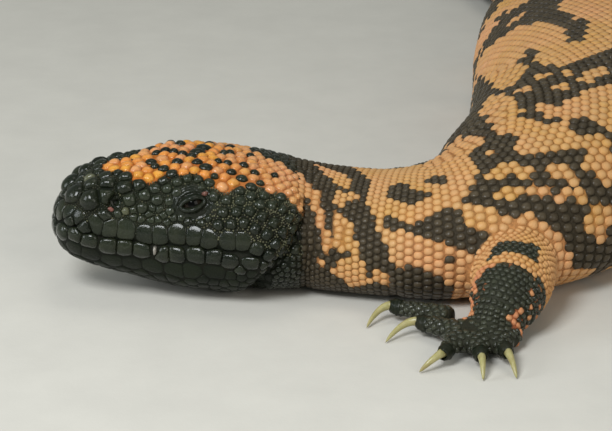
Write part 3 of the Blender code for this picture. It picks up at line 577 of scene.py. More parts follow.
def flank_point(s, height, sign=1):
    """A point on the side of the head at a given length and height."""
    angle = np.radians(np.linspace(-80, 89, 170))
    side, level = outline(float(s), angle)
    side = np.interp(height, level, side)
    return placed(float(s), sign * side, height)


def arc_row(s, step):
    """Arcs round the body at one length, at every so many of the table's angles."""
    return np.array([np.interp(s, ARC_S, ARC[:, k]) for k in range(0, len(ARC_ANGLES), step)])


def back_point(s, arc, step=4, row=None):
    """A point on the body at a given length and arc."""
    row = arc_row(s, step) if row is None else row
    angle = np.interp(-arc, -row, ARC_ANGLES[::step])
    side, height = outline(float(s), np.array([angle]))
    return placed(float(s), side[0], max(height[0], 0.0))


def ripple(points, scale, seed, waves=7):
    """A smooth random field between about -1 and 1, as a sum of plane waves."""
    rng = np.random.default_rng(seed)
    total = np.zeros(len(points))
    for _ in range(waves):
        way = rng.normal(size=points.shape[1])
        way *= rng.uniform(0.6, 1.5) / np.linalg.norm(way)
        total += np.sin(points @ way * 2 * math.pi / scale + rng.uniform(0, 2 * math.pi))
    return total / math.sqrt(waves)


def inside(points, polygon):
    """Which points lie inside a flat outline."""
    x, y = points.T
    corners = np.array(polygon, float)
    found = np.zeros(len(points), bool)
    for (x0, y0), (x1, y1) in zip(corners, np.roll(corners, -1, axis=0)):
        if y0 == y1:
            continue
        crosses = (y0 > y) != (y1 > y)
        found ^= crosses & (x < (x1 - x0) * (y - y0) / (y1 - y0) + x0)
    return found


# Limbs as tubes


def tube(path, radii, count):
    """Centres, radii and tangents along a smooth curve through a limb's joints."""
    path = np.array(path, float)
    knots = np.concatenate([[0], np.cumsum(np.linalg.norm(np.diff(path, axis=0), axis=1))])
    at = np.linspace(0, knots[-1], count)
    centre = np.stack([rounded(knots, path[:, k], at) for k in range(3)], 1)
    tangent = np.gradient(centre, at, axis=0)
    tangent /= np.linalg.norm(tangent, axis=1)[:, None]
    return centre, np.interp(at, knots, radii), tangent, knots[-1]


def limb_tubes():
    """Every limb and toe as a tube, with the limb that it belongs to."""
    tubes = []
    for index, (joints, radii, sole, toes) in enumerate(LIMBS.values()):
        path = [*joints, (*sole, SOLE_HEIGHT * 0.5)]
        tubes.append((index, 0, *tube(path, (*radii, SOLE_HEIGHT * 0.62), 90)))
        for number, (root, end, _) in enumerate(toes, 1):
            middle = ((root[0] + end[0]) / 2, (root[1] + end[1]) / 2, TOE_HEIGHTS[1])
            path = [(*root, TOE_HEIGHTS[0]), middle, (*end, TOE_HEIGHTS[2])]
            tubes.append((index, number, *tube(path, TOE_RADII, 24)))
    return tubes


TUBES = limb_tubes()
TUBE_LIMB = np.array([row[0] for row in TUBES])
TUBE_TOE = np.array([row[1] for row in TUBES])


def frame_of(tangent):
    """Level and upright directions square to a tangent."""
    level = np.cross(tangent, (0.0, 0.0, 1.0))
    level /= np.linalg.norm(level, axis=-1)[..., None]
    return level, np.cross(level, tangent)


def limb_place(points):
    """For each point the nearest tube, how far outside it the point is, the share along the
    tube, the turn round it and the tube's direction there."""
    best = np.full(len(points), 1e9)
    which = np.zeros(len(points), int)
    share = np.zeros(len(points))
    turn = np.zeros(len(points))
    way = np.zeros((len(points), 3))
    for number, (_, _, centre, radius, tangent, _) in enumerate(TUBES):
        low, high = centre.min(0) - 20, centre.max(0) + 20
        near = np.where(np.all((points > low) & (points < high), 1))[0]
        if not len(near):
            continue
        away = np.linalg.norm(points[near, None] - centre, axis=2)
        k = np.argmin(away - radius, 1)
        out = away[np.arange(len(near)), k] - radius[k]
        better = out < best[near]
        take, k = near[better], k[better]
        best[take] = out[better]
        which[take] = number
        share[take] = k / (len(centre) - 1)
        way[take] = tangent[k]
        level, upright = frame_of(tangent[k])
        rest = points[take] - centre[k]
        turn[take] = np.arctan2(np.sum(rest * upright, 1), np.sum(rest * level, 1))
    return best, which, share, turn, way


# Skin


def shell(rings):
    """A closed surface over rings of equal count, with a fan at each end."""
    count = len(rings[0])
    points = np.concatenate([*rings, [rings[0].mean(0)], [rings[-1].mean(0)]])
    faces = []
    for i in range(len(rings) - 1):
        for j in range(count):
            k = (j + 1) % count
            faces.append((i * count + j, i * count + k, (i + 1) * count + k, (i + 1) * count + j))
    first, last = len(points) - 2, len(points) - 1
    base = (len(rings) - 1) * count
    for j in range(count):
        k = (j + 1) % count
        faces.append((first, k, j))
        faces.append((last, base + j, base + k))
    return points, faces


def body_shell(depth):
    """The body from snout to tail, drawn in by the depth of the scales."""
    s = np.concatenate([np.arange(0.15, 62, 0.9), np.arange(62, 474.6, 2.2), [474.8]])
    angle = full_turn(132)
    rings = []
    for at in s:
        inset = depth + 0.45 * (1 - float(smooth_step(at, 50, 64)))
        side, height = outline(at, angle, -inset)
        rings.append(placed(at, side, np.maximum(height, 0.45)))
    return shell(rings)


def tube_shell(centre, radius, tangent, depth, round_end):
    """A limb or toe as a closed tube, with a round end where it is a toe."""
    turn = full_turn(28)
    level, upright = frame_of(tangent)
    rings = []
    for k in range(len(centre)):
        size = radius[k] - depth
        rings.append(centre[k] + size * ring_of(turn, level[k], upright[k]))
    if round_end:
        for ahead, part in ((0.5, 0.86), (0.9, 0.6), (1.05, 0.3)):
            ring = ring_of(turn, level[-1], upright[-1])
            rings.append(centre[-1] + tangent[-1] * ahead + (radius[-1] - depth) * part * ring)
    return shell([np.maximum(ring, LIMB_LOWEST) for ring in rings])


def pad_shell(sole, depth):
    """The flat pad of a foot."""
    rings = []
    turn = full_turn(28)
    for rise in np.radians(np.linspace(-82, 82, 12)):
        wide = (SOLE_RADIUS - depth) * math.cos(rise)
        high = SOLE_HEIGHT / 2 - 0.6 + (SOLE_HEIGHT / 2 + 1 - depth) * math.sin(rise)
        ring = np.stack([np.cos(turn) * wide, np.sin(turn) * wide, np.full(28, high)], 1)
        rings.append(np.maximum(ring + (*sole, 0), LIMB_LOWEST))
    return shell(rings)


def to_metres(points):
    """From millimetres on the plan to the frame's metres."""
    return (np.asarray(points, float) - (*PLAN_CENTRE, 0.0)) * MM


def joined_shells(shells):
    """Several closed surfaces as one set of points and faces."""
    points, faces, start = [], [], 0
    for some, theirs in shells:
        points.append(some)
        faces.extend(tuple(start + k for k in face) for face in theirs)
        start += len(some)
    return np.concatenate(points), faces


def remeshed(points, faces, voxel):
    """The overlapping shells as one even surface."""
    mesh = bpy.data.meshes.new("rough")
    mesh.from_pydata(to_metres(points).tolist(), [], faces)
    made = bpy.data.objects.new("rough", mesh)
    bpy.context.scene.collection.objects.link(made)
    weld = made.modifiers.new("weld", "REMESH")
    weld.mode = "VOXEL"
    weld.voxel_size = voxel
    bpy.context.view_layer.update()
    graph = bpy.context.evaluated_depsgraph_get()
    result = bpy.data.meshes.new_from_object(made.evaluated_get(graph))
    bpy.data.objects.remove(made)
    bpy.data.meshes.remove(mesh)
    return result


def read_rows(items, name, width, kind=np.float32):
    """A property of a mesh's parts as rows of numbers."""
    flat = np.empty(len(items) * width, kind)
    items.foreach_get(name, flat)
    return flat.reshape(-1, width)


def coordinates(mesh):
    """A mesh's points in millimetres on the plan."""
    return read_rows(mesh.vertices, "co", 3).astype(float) / MM + (*PLAN_CENTRE, 0.0)


def set_coordinates(mesh, points):
    """Moves a mesh's points to places in millimetres on the plan."""
    mesh.vertices.foreach_set("co", to_metres(points).astype(np.float32).ravel())
    mesh.update()


def relaxed_surface(mesh, points, rounds, amount):
    """Each point moved towards the mean of its neighbours, by its own amount."""
    a, b = read_rows(mesh.edges, "vertices", 2, np.int32).T
    count = np.bincount(np.concatenate([a, b]), minlength=len(points))[:, None]
    for _ in range(rounds):
        total = np.zeros_like(points)
        for k in range(3):
            total[:, k] = np.bincount(a, points[b, k], len(points))
            total[:, k] += np.bincount(b, points[a, k], len(points))
        points = points + (total / count - points) * amount[:, None]
    return points


def vertex_normals(mesh):
    """The direction outwards at each of a mesh's points."""
    return read_rows(mesh.vertex_normals, "vector", 3).astype(float)


def eye_frame(sign):
    """The eye's centre on the plan, the way it faces, upwards and backwards."""
    ahead = spine_at(float(EYE_CENTRE[0]))[1]
    along = np.array((*ahead, 0.0))
    left = np.array((ahead[1], -ahead[0], 0.0)) * sign
    facing = along * EYE_FACING[0] + left * EYE_FACING[1] + np.array((0, 0, EYE_FACING[2]))
    facing /= np.linalg.norm(facing)
    upward = unit(np.array((0.0, 0.0, 1.0)) - facing * facing[2])
    backward = np.cross(facing, upward)
    backward *= np.sign(backward @ along)
    centre = placed(EYE_CENTRE[0], sign * EYE_CENTRE[1], EYE_CENTRE[2])
    return centre, facing, upward, backward


def carved(points, normals, mouth=1.25):
    """The finer forms of the head and neck: the mouth, the eye sockets, nostrils, ears, folds."""
    s, _, height, _, arc = body_place(points)
    on_head = s < 52
    line = read_off(LIP_LINE, s)
    groove = hump(height - line, 0.6) * (1 - smooth_step(s, 46, 51))
    push = np.where(on_head, -mouth * groove, 0.0)
    lip_up = hump(height - line - 2.6, 2.2) * (1 - smooth_step(s, 36, 50))
    lip_low = hump(height - line + 2.4, 1.9) * (1 - smooth_step(s, 40, 52))
    push += np.where(on_head, 0.45 * lip_up + 0.5 * lip_low, 0.0)
    # Folds of loose skin behind the jaw, at the throat and over the shoulder
    behind = s - read_off(JAW_FOLD, np.abs(arc))
    low = smooth_step(np.abs(arc), 11, 19)
    fold = low * (0.7 * hump(behind + 5, 4) - 2.5 * hump(behind, 1.7))
    for at, slope, depth, wide in NECK_FOLDS:
        lean = at + slope * np.maximum(np.abs(arc) - 24, 0)
        low = smooth_step(np.abs(arc), 12, 22)
        fold = fold - depth * low * hump(s - lean, wide)
    push += fold
    points = points + normals * push[:, None]
    for sign in (1, -1):
        centre, facing, _, _ = eye_frame(sign)
        away = points - centre
        out = away @ facing
        beside = np.linalg.norm(away - out[:, None] * facing, axis=1)
        near = (beside < 5.2) & (out > 0) & (out < 8)
        sunk = 1 - smooth_step(beside, 3.3, 5.0)
        points = np.where(
            near[:, None], points - facing * (sunk * np.maximum(out - 1.9, 0))[:, None], points
        )
        for (at, level), reach, depth in ((NOSTRIL, 1.6, 3.4), (EAR, 0.9, 1.6)):
            rest = points - flank_point(at, level, sign)
            if level == EAR[1]:
                rest = rest * (1, 1, 0.42)
            pit = 1 - smooth_step(np.linalg.norm(rest, axis=1), reach * 0.55, reach * 1.35)
            points = points - normals * (pit * depth)[:, None]
    return points


# Markings


def neck_and_back_pale(s, arc, points):
    """Where the left neck, shoulder and foreback are pale. The right side is warped."""
    right = (arc < -46) | ((arc < -12) & (s < 112))
    wobble = np.stack([ripple(points, 26, 5), ripple(points, 26, 6)], 1) * 3.4
    u = s + np.where(right, wobble[:, 0], 0)
    v = np.where(right, np.abs(arc) + wobble[:, 1] - 2, arc)
    where = np.stack([u, v], 1)

    def in_any(shapes):
        return np.any([inside(where, shape) for shape in shapes], 0)

    shoulder = u > read_off(SHOULDER_EDGE, v)
    foreback = u > read_off(FOREBACK_EDGE, v)
    pale = np.where(shoulder, ~in_any(SHOULDER_BLACK), in_any(NECK_PALE))
    single = np.zeros(len(s), bool)
    for at_s, at_arc in BACK_PALE_BEADS:
        single |= np.hypot(u - at_s, v - at_arc) < (1.5 if at_s < 130 else 2.3)
    return np.where(foreback, in_any(BACK_PALE) | single, pale)


def banded_pale(s, arc, points):
    """The netted saddles of the back and the rings of the tail."""
    near = ripple(points, 30, 11)
    fine = ripple(points, 12, 12)
    bend = 3.2 * near + 1.8 * fine + 0.10 * np.abs(arc)
    trunk = np.cos((s + bend - 152) * 2 * math.pi / 37.0) + 0.30 * fine - 0.12
    tail = np.cos((s + 0.5 * bend - 331) * 2 * math.pi / 31.0) + 0.16 * fine
    blend = smooth_step(s, 300, 325)
    value = trunk * (1 - blend) + tail * blend
    islands = ripple(points, 11, 13)
    value = np.where((value > 0.35) & (islands > 1.15), -0.5, value)
    value = np.where((value < -0.25) & (islands < -1.25), 0.5, value)
    low = smooth_step(np.abs(arc), 44, 52)
    value = value + low * (0.35 * ripple(points, 16, 14) - 0.15)
    return value < 0


def head_pale(s, arc):
    """The crown's pale shields."""
    edge = np.where(arc > 0, read_off(CROWN_EDGE_LEFT, s), read_off(CROWN_EDGE_RIGHT, s))
    back = read_off(CROWN_BACK, arc)
    return (np.abs(arc) < edge) & (s > 10.8) & (s < back)


def body_pale(s, arc, points):
    """The pale parts of head, neck, trunk and tail."""
    fore = neck_and_back_pale(s, arc, points)
    rear = banded_pale(s, arc, points)
    pale = np.where(s < read_off(KNOWN_MARKS_END, arc), fore, rear)
    return np.where(s < 60, head_pale(s, arc), np.where(s < 62.5, head_pale(s, arc) | pale, pale))


def limb_pale(points, facts):
    """Flecks on the dark limbs. Where a limb leaves the body it still has the body's marks."""
    fleck = ripple(points, 2.5, 27)
    patch = ripple(points, 15, 22)
    turn, share = facts["turn"], facts["share"]
    edge = np.abs(np.cos(turn))
    first = facts["which"] == 0
    more = np.where(first, 0.6 * (np.cos(turn) > 0.25), -0.45)
    value = fleck + 0.3 * patch + 1.3 * edge**2 + more - 2.2 * smooth_step(share, 0.86, 0.92)
    pale = (value > 1.75) & ~facts["toe"]
    left = first & ~facts["toe"]
    wave = share + 0.02 * patch - 0.06 * np.cos(turn)
    streak = (wave > 0.53) & (wave < 0.64) & (np.abs(np.cos(turn) + 0.05) < 0.6)
    pale = np.where(left & (wave < 0.71), ~streak, pale)
    root = ~left & ~facts["toe"] & (share < 0.3)
    return np.where(root, patch > -0.1, pale)


def tint_of(palette, pale, facts, points, rng, jitter=1.0):
    """A colour for each place, from the finish's own colours with a little chance."""
    count = len(points)
    s, limb = facts["s"], facts["limb"]

    def chance(amount):
        return 1 + amount * jitter * rng.uniform(-1, 1, (count, 1))

    tone = {name: np.array(colour)[None] for name, colour in palette.items()}
    trunk = smooth_step(s, 54, 66)[:, None] * ~limb[:, None]
    dark = tone["black"] * (1 - trunk) + tone["umber"] * trunk
    dark = np.where(limb[:, None], tone["leg"], dark) * chance(0.3)
    arc = np.abs(facts["arc"])
    side = smooth_step(arc, 11, 15) * (1 - smooth_step(arc, 21, 25))
    olive = side * smooth_step(s, 9, 13) * (1 - smooth_step(s, 52, 56)) * ~limb
    dark = dark + olive[:, None] * (0.014, 0.017, 0.010)
    warm = np.clip(ripple(points, 13, 31)[:, None] * 0.4 + 0.5 * chance(0.4), 0, 1)
    low = smooth_step(arc, 20, 46)[:, None]
    low = low + (smooth_step(s, 36, 46) * (1 - smooth_step(s, 64, 76)))[:, None] * 1.3
    pink = np.clip(ripple(points, 24, 32)[:, None] * 0.3 + 0.2 * chance(0.6) + 0.5 * low, 0, 1)
    light = tone["peach"] + (tone["amber"] - tone["peach"]) * warm * 0.7
    light = light + (tone["rose"] - light) * pink * 0.7
    crown = (1 - smooth_step(s, 34, 60))[:, None]
    pick = rng.random((count, 1)) if jitter else np.full((count, 1), 0.4)
    orange = np.where(pick < 0.72, tone["gold"], tone["rose"])
    orange = np.where(pick < 0.42, tone["orange"], orange)
    orange = orange * 0.7 + 0.3 * (tone["orange"] * (1 - warm) + tone["gold"] * warm)
    light = light + (orange - light) * crown
    fleck = tone["salmon"] + (tone["peach"] - tone["salmon"]) * rng.random((count, 1)) * 0.4
    distal = limb & (facts["share"] > np.where(facts["which"] == 0, 0.7, 0.3))
    # Painted shade: the pale scales of the back, away from the low flanks and the crown, are darkened
    # by up to an eighth
    light = light * (1 - 0.12 * (1 - np.minimum(low, 1)) * (1 - crown))
    light = np.where(distal[:, None], fleck, light) * chance(0.08)
    return np.clip(np.where(pale[:, None], light, dark), 0.002, 0.95)


# Scales


def scale_size(s, arc, height, limb, share, toe):
    """The distance between scales at each place."""
    trunk = read_off(BEAD_SIZES, s)
    trunk = trunk * (1 - 0.12 * smooth_step(np.abs(arc), 38, 55) * (s > 90))
    crown = np.interp(s, (0, 8, 20, 48, 58, 62), (2.4, 2.6, 2.75, 2.75, 2.2, 1.75))
    flank = np.interp(
        s, (0, 10, 24, 34, 37, 52, 58, 62), (2.2, 1.9, 1.7, 1.9, 3.15, 3.15, 2.4, 1.75)
    )
    chin = np.interp(s, (0, 30, 42, 50, 62), (3.4, 3.2, 2.6, 2.1, 1.6))
    line = read_off(LIP_LINE, s)
    above = smooth_step(height, line - 3, line + 1)
    side = smooth_step(np.abs(arc), 12, 19)
    head = (crown * (1 - side) + flank * side) * above + chin * (1 - above)
    head = np.where((s > 50.5) & (height < 15), 1.55, head)
    throat = smooth_step(np.abs(arc), 26, 34) * (1 - smooth_step(s, 64, 78))
    size = np.where(s < 60, head, trunk * (1 - 0.2 * throat))
    leg = np.where(share < 0.4, 1.85, np.where(share < 0.85, 1.45, 1.35))
    return np.where(limb, np.where(toe, 1.3, leg), size)


def project(tree, points):
    """The nearest places on the skin."""
    return np.array([tree.find_nearest(p)[0] for p in points])


def neighbours(points, count):
    """Index of the nearest other points of each point."""
    tree = kd_tree(points)
    return np.array([[found[1] for found in tree.find_n(p, count + 1)][1:] for p in points])


def thinned(points, size, pinned, share):
    """Drops a point that is too near an earlier one. The pinned points come first."""
    tree = kd_tree(points)
    keep = np.ones(len(points), bool)
    for k, p in enumerate(points):
        if not keep[k]:
            continue
        for _, other, away in tree.find_range(p, size[k] * share[k]):
            if other > k and not pinned[other] and away < 0.5 * (size[k] + size[other]) * share[k]:
                keep[other] = False
    return keep


def filled(points, size, candidates, candidate_size, share):
    """Adds candidates wherever the nearest scale is too far away."""
    cell = 2.0
    grid = {}

    def add(p, t):
        grid.setdefault(tuple((p // cell).astype(int)), []).append((*p, t))

    def free(p, t):
        base = (p // cell).astype(int)
        span = range(-2, 3)
        for i in span:
            for j in span:
                for k in span:
                    for x, y, z, other in grid.get((base[0] + i, base[1] + j, base[2] + k), ()):
                        near = share * 0.5 * (t + other)
                        if (x - p[0]) ** 2 + (y - p[1]) ** 2 + (z - p[2]) ** 2 < near * near:
                            return False
        return True

    tree = kd_tree([*points, FAR_AWAY])
    for p, t in zip(points, size):
        add(p, t)
    added = []
    for k, (p, t) in enumerate(zip(candidates, candidate_size)):
        if tree.find(p)[2] > share * 0.5 * t and free(p, t):
            add(p, t)
            added.append(k)
    return np.array(added, int)


def settled(points, size, pinned, tree, rounds):
    """Scales pushed apart on the skin until they lie evenly."""
    for _ in range(rounds):
        near = neighbours(points, 7)
        gap = points[:, None] - points[near]
        away = np.linalg.norm(gap, axis=2) + 1e-6
        wanted = 0.5 * (size[:, None] + size[near])
        push = np.clip(1.04 - away / wanted, 0, 0.6) * wanted
        move = np.sum(gap / away[..., None] * push[..., None], 1) * 0.32
        move[pinned] = 0
        points = points + move
        free = np.where(~pinned)[0]
        points[free] = project(tree, points[free])
    return points


def cell_outlines(points, along, across, size, shape, corners):
    """The outline of each scale: its own size, bounded by half the way to each neighbour."""
    turn = full_turn(corners)
    cosine, sine = np.cos(turn), np.sin(turn)
    near = neighbours(points, 12)
    rest = points[near] - points[:, None]
    u = np.einsum("nkd,nd->nk", rest, along)
    v = np.einsum("nkd,nd->nk", rest, across)
    length = u * u + v * v
    part = size[:, None] / (size[:, None] + size[near])
    facing = u[..., None] * cosine + v[..., None] * sine
    limit = length[..., None] * part[..., None] / np.maximum(facing, 1e-3)
    limit = np.where(facing > 0.05 * np.sqrt(length)[..., None], limit, 1e3)
    square = shape["square"][:, None]
    cap = np.abs(cosine / shape["long"][:, None]) ** square
    cap = (cap + np.abs(sine / shape["wide"][:, None]) ** square) ** (-1 / square)
    power = 12.0
    total = np.sum(limit**-power, 1) + cap**-power
    return np.maximum(total ** (-1 / power) - shape["gap"][:, None] / 2, 0.12)


def dome_mesh(scales, keep, corners, levels, draped=False):
    """Points, faces, colours, rise and bake places of a set of scales as domes."""
    points, normal, along, across, edge, high, flat, tilt, bake, tint = (
        scales[key][keep] for key in DOME_KEYS
    )
    edge = edge[:, :: edge.shape[1] // corners]
    count, reach = len(points), edge.mean(1)
    cosine, sine = np.cos(full_turn(corners)), np.sin(full_turn(corners))
    spread = cosine[None, :, None] * along[:, None] + sine[None, :, None] * across[:, None]
    rows, rises, places = [], [], []
    for rho in (*levels, 0.0):
        rise = (1 - np.minimum(rho, 1.0) ** flat) ** 0.62 if rho < 1 else np.zeros(count) - 0.5
        lean = 1 + tilt[:, None] * rho * cosine[None]
        number = corners if rho > 0 else 1
        level = (high * rise)[:, None] * lean[:, :number]
        place = points[:, None] + edge[:, :number, None] * spread[:, :number] * rho
        if draped:
            place = project(MADE["closed"], place.reshape(-1, 3)).reshape(place.shape)
        rows.append(place + level[..., None] * normal[:, None])
        rises.append(np.repeat(np.clip(rise, 0, 1)[:, None], number, 1))
        out = edge[:, :number] / reach[:, None] * rho
        spot = np.stack([out * cosine[:number], out * sine[:number]], 2)
        places.append(bake[:, None] + BAKE_REACH * spot)
    verts = np.concatenate(rows, 1)
    verts[..., 2] = np.maximum(verts[..., 2], SCALE_LOWEST)
    each = verts.shape[1]
    base = (np.arange(count) * each)[:, None]
    j = np.arange(corners)
    k = (j + 1) % corners
    quads, top = [], len(levels) * corners
    for i in range(len(levels) - 1):
        a = i * corners
        quads.append(np.stack([a + j, a + k, a + corners + k, a + corners + j], 1))
    quads = (np.concatenate(quads)[None] + base[..., None]).reshape(-1, 4)
    last = (len(levels) - 1) * corners
    tris = np.stack([last + j, last + k, np.full(corners, top)], 1)
    tris = (tris[None] + base[..., None]).reshape(-1, 3)
    return (
        verts.reshape(-1, 3), quads, tris, np.repeat(tint[:, None], each, 1).reshape(-1, 3),
        np.concatenate(rises, 1).ravel(), np.concatenate(places, 1).reshape(-1, 2),
    )


def paint(mesh, tint):
    """Gives each point of a mesh its own colour."""
    layer = mesh.color_attributes.new("tint", "FLOAT_COLOR", "POINT")
    colours = np.concatenate([tint, np.ones((len(tint), 1))], 1)
    layer.data.foreach_set("color", colours.astype(np.float32).ravel())


def quick_mesh(name, verts, quads, tris, tint, rise, bake):
    """A mesh from arrays, with its colours, its rise over the skin and its bake map."""
    mesh = bpy.data.meshes.new(name)
    mesh.vertices.add(len(verts))
    mesh.vertices.foreach_set("co", to_metres(verts).astype(np.float32).ravel())
    loops = np.concatenate([quads.ravel(), tris.ravel()]).astype(np.int32)
    starts = np.concatenate(
        [np.arange(len(quads)) * 4, len(quads) * 4 + np.arange(len(tris)) * 3]
    ).astype(np.int32)
    mesh.loops.add(len(loops))
    mesh.loops.foreach_set("vertex_index", loops)
    mesh.polygons.add(len(starts))
    mesh.polygons.foreach_set("loop_start", starts)
    mesh.update(calc_edges=True)
    mesh.validate()
    mesh.shade_smooth()
    paint(mesh, tint)
    layer = mesh.attributes.new("rise", "FLOAT", "POINT")
    layer.data.foreach_set("value", rise.astype(np.float32))
    layer = mesh.uv_layers.new(name="OFBake")
    layer.uv.foreach_set("vector", bake[loops].astype(np.float32).ravel())
    return mesh


def made_piece(name, data, material, slot):
    """A piece whose mesh is given as arrays."""
    return piece(name, quick_mesh(name, *data), material, slot)


def piece(name, mesh, material, slot):
    """A piece of the scene that rides on the body and takes a finish."""
    made = bpy.data.objects.new(name, mesh)
    mesh.materials.clear()
    mesh.materials.append(material)
    bpy.context.scene.collection.objects.link(made)
    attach(made, "root")
    return made


def lip_places(offset, spacing, first, last_s):
    """Lengths and heights of the plates along one lip, evenly spaced along the lip itself."""
    s = np.linspace(0, 50, 400)
    line = read_off(LIP_LINE, s) + offset
    points = np.array([flank_point(a, h) for a, h in zip(s, line)])
    run = np.concatenate([[3.0], 3.0 + np.cumsum(np.linalg.norm(np.diff(points, axis=0), axis=1))])
    at = np.arange(first, run[-1], spacing)
    where = np.interp(at, run, s)
    keep = where < last_s
    at, drift = where[keep], np.arange(keep.sum())
    return at + 0.6 * np.sin(drift * 2.4), np.interp(at, s, line) + 0.35 * np.sin(drift * 1.7)


def head_seeds():
    """The scales of the head that have names: place, half length, half height, how proud, how
    flat on top and how square."""
    rows = []
    for sign in (1, -1):
        for offset, spacing, first, last, tall, proud, flat in LIP_ROWS:
            for at, level in zip(*lip_places(offset, spacing, first, last)):
                shrink = 1 - 0.3 * smooth_step(at, 30, 48)
                rows.append((flank_point(at, level, sign), spacing / 2 * 1.3, tall * shrink,
                             proud * shrink, flat, LIP_SQUARE, "black"))
        for at, arc, long, wide, proud in SNOUT_SCALES:
            place = back_point(at, sign * arc)
            rows.append((place, long * 1.14, wide * 1.14, proud, 2.5, 2.3, "black"))
        for at, arc, long, wide, proud in BROW_SCALES:
            rows.append((back_point(at, sign * arc), long, wide, proud, 2.6, 2.4, "black"))
    for level, wide in ((22.6, 2.5), (16.8, 2.6)):
        rows.append((placed(0.0, 0.0, level), wide, 3.2, 0.5, 4.0, 3.0, "black"))
    for s, arc, size in CROWN_BLACK:
        rows.append((back_point(s, arc), size * 0.76, size * 0.62, 1.0, 2.2, 2.0, "black"))
    for at, arc, long, wide, proud, colour in LIGHT_SPOTS:
        rows.append((back_point(at, arc), long, wide, proud, 2.4, 2.2, colour))
    return rows


def body_seeds():
    """Rows of beads across the back, set half a bead over from row to row."""
    found, s, odd = [], 61.5, 0
    while s < 474.0:
        size = float(read_off(BEAD_SIZES, s))
        turn = abs(float(heading_at(s + 2) - heading_at(s - 2))) / 4
        row = arc_row(s, 2)
        reach = int(max(row.max(), -row.min()) / size) + 1
        for j in range(-reach, reach + 1):
            arc = (j + 0.5 * (odd % 2)) * size
            if -row.max() < -arc < -row.min() and row.min() < arc < row.max():
                found.append(back_point(s, arc, 2, row))
        s += size * 0.87 * (1 - 0.16 * min(turn / 1.6, 1))
        odd += 1
    return found


def limb_seeds():
    """Rows of scales across each limb, and the broad plates across each toe."""
    found = []
    for _, toe, centre, radius, tangent, length in TUBES:
        pitch = 1.2 if toe else 1.12
        level, upright = frame_of(tangent)
        for i, share in enumerate(np.arange(0.1, 0.99, pitch / length)):
            k = int(share * (len(centre) - 1))
            around = 6 if toe else max(6, round(2 * math.pi * radius[k] / 1.85))
            turn = 2 * math.pi * (np.arange(around) + 0.25 + 0.5 * (i % 2)) / around
            ring = ring_of(turn, level[k], upright[k])
            found.extend(centre[k] + (radius[k] - 0.5) * ring)
    return found


def surface_samples(mesh, points, count, rng, part=None):
    """Random places on the skin, or on a part of it, spread by area."""
    mesh.calc_loop_triangles()
    corners = read_rows(mesh.loop_triangles, "vertices", 3, np.int32)
    if part is not None:
        corners = corners[np.all(part[corners], 1)]
    a, b, c = (points[corners[:, k]] for k in range(3))
    area = np.linalg.norm(np.cross(b - a, c - a), axis=1)
    pick = rng.choice(len(area), count, p=area / area.sum())
    u, v = rng.random(count), rng.random(count)
    over = u + v > 1
    u[over], v[over] = 1 - u[over], 1 - v[over]
    return a[pick] + (b[pick] - a[pick]) * u[:, None] + (c[pick] - a[pick]) * v[:, None]


def near_head(points):
    """Which places are in the corner of the plan where the head and neck are."""
    return (points[:, 0] < 2) & (points[:, 1] < 36)


def place_facts(points):
    """Everything about a set of places that sizes, shapes and colours depend on."""
    s, side, height, angle, arc = body_place(points)
    out, which, share, turn, way = limb_place(points)
    clipped = np.clip(s, 0, TOTAL_LENGTH)
    edge_side = table_value(ARC_SIDE, clipped, angle)
    edge_height = table_value(ARC_HEIGHT, clipped, angle)
    widest = SECTION_CURVES[3](clipped)
    body_out = np.hypot(side, height - widest) - np.hypot(edge_side, edge_height - widest)
    limb = out < body_out
    toe = TUBE_TOE[which] > 0
    return {
        "s": s, "height": height, "angle": angle, "arc": arc, "limb": limb, "which": which,
        "share": share, "turn": turn, "way": way, "toe": toe & limb,
    }


def size_at(facts):
    """The distance between scales at places whose facts are known."""
    return scale_size(
        facts["s"], facts["arc"], facts["height"], facts["limb"], facts["share"], facts["toe"]
    )


def keep_clear(points, facts):
    """Places that stay free of scales: the eyes, nostrils, ears and the line of the mouth."""
    free = np.ones(len(points), bool)
    for sign in (1, -1):
        centre, facing, upward, backward = eye_frame(sign)
        rest = points - centre
        along, up = rest @ backward, rest @ upward
        free &= ~((np.hypot(along / 5.2, up / 4.1) < 1) & (rest @ facing > -1))
        free &= np.linalg.norm(points - flank_point(*NOSTRIL, sign), axis=1) > 1.7
        ear = (points - flank_point(*EAR, sign)) * (1, 1, 0.5)
        free &= np.linalg.norm(ear, axis=1) > 1.2
    line = read_off(LIP_LINE, facts["s"])
    return free & ~((np.abs(facts["height"] - line) < 0.9) & (facts["s"] < 49))


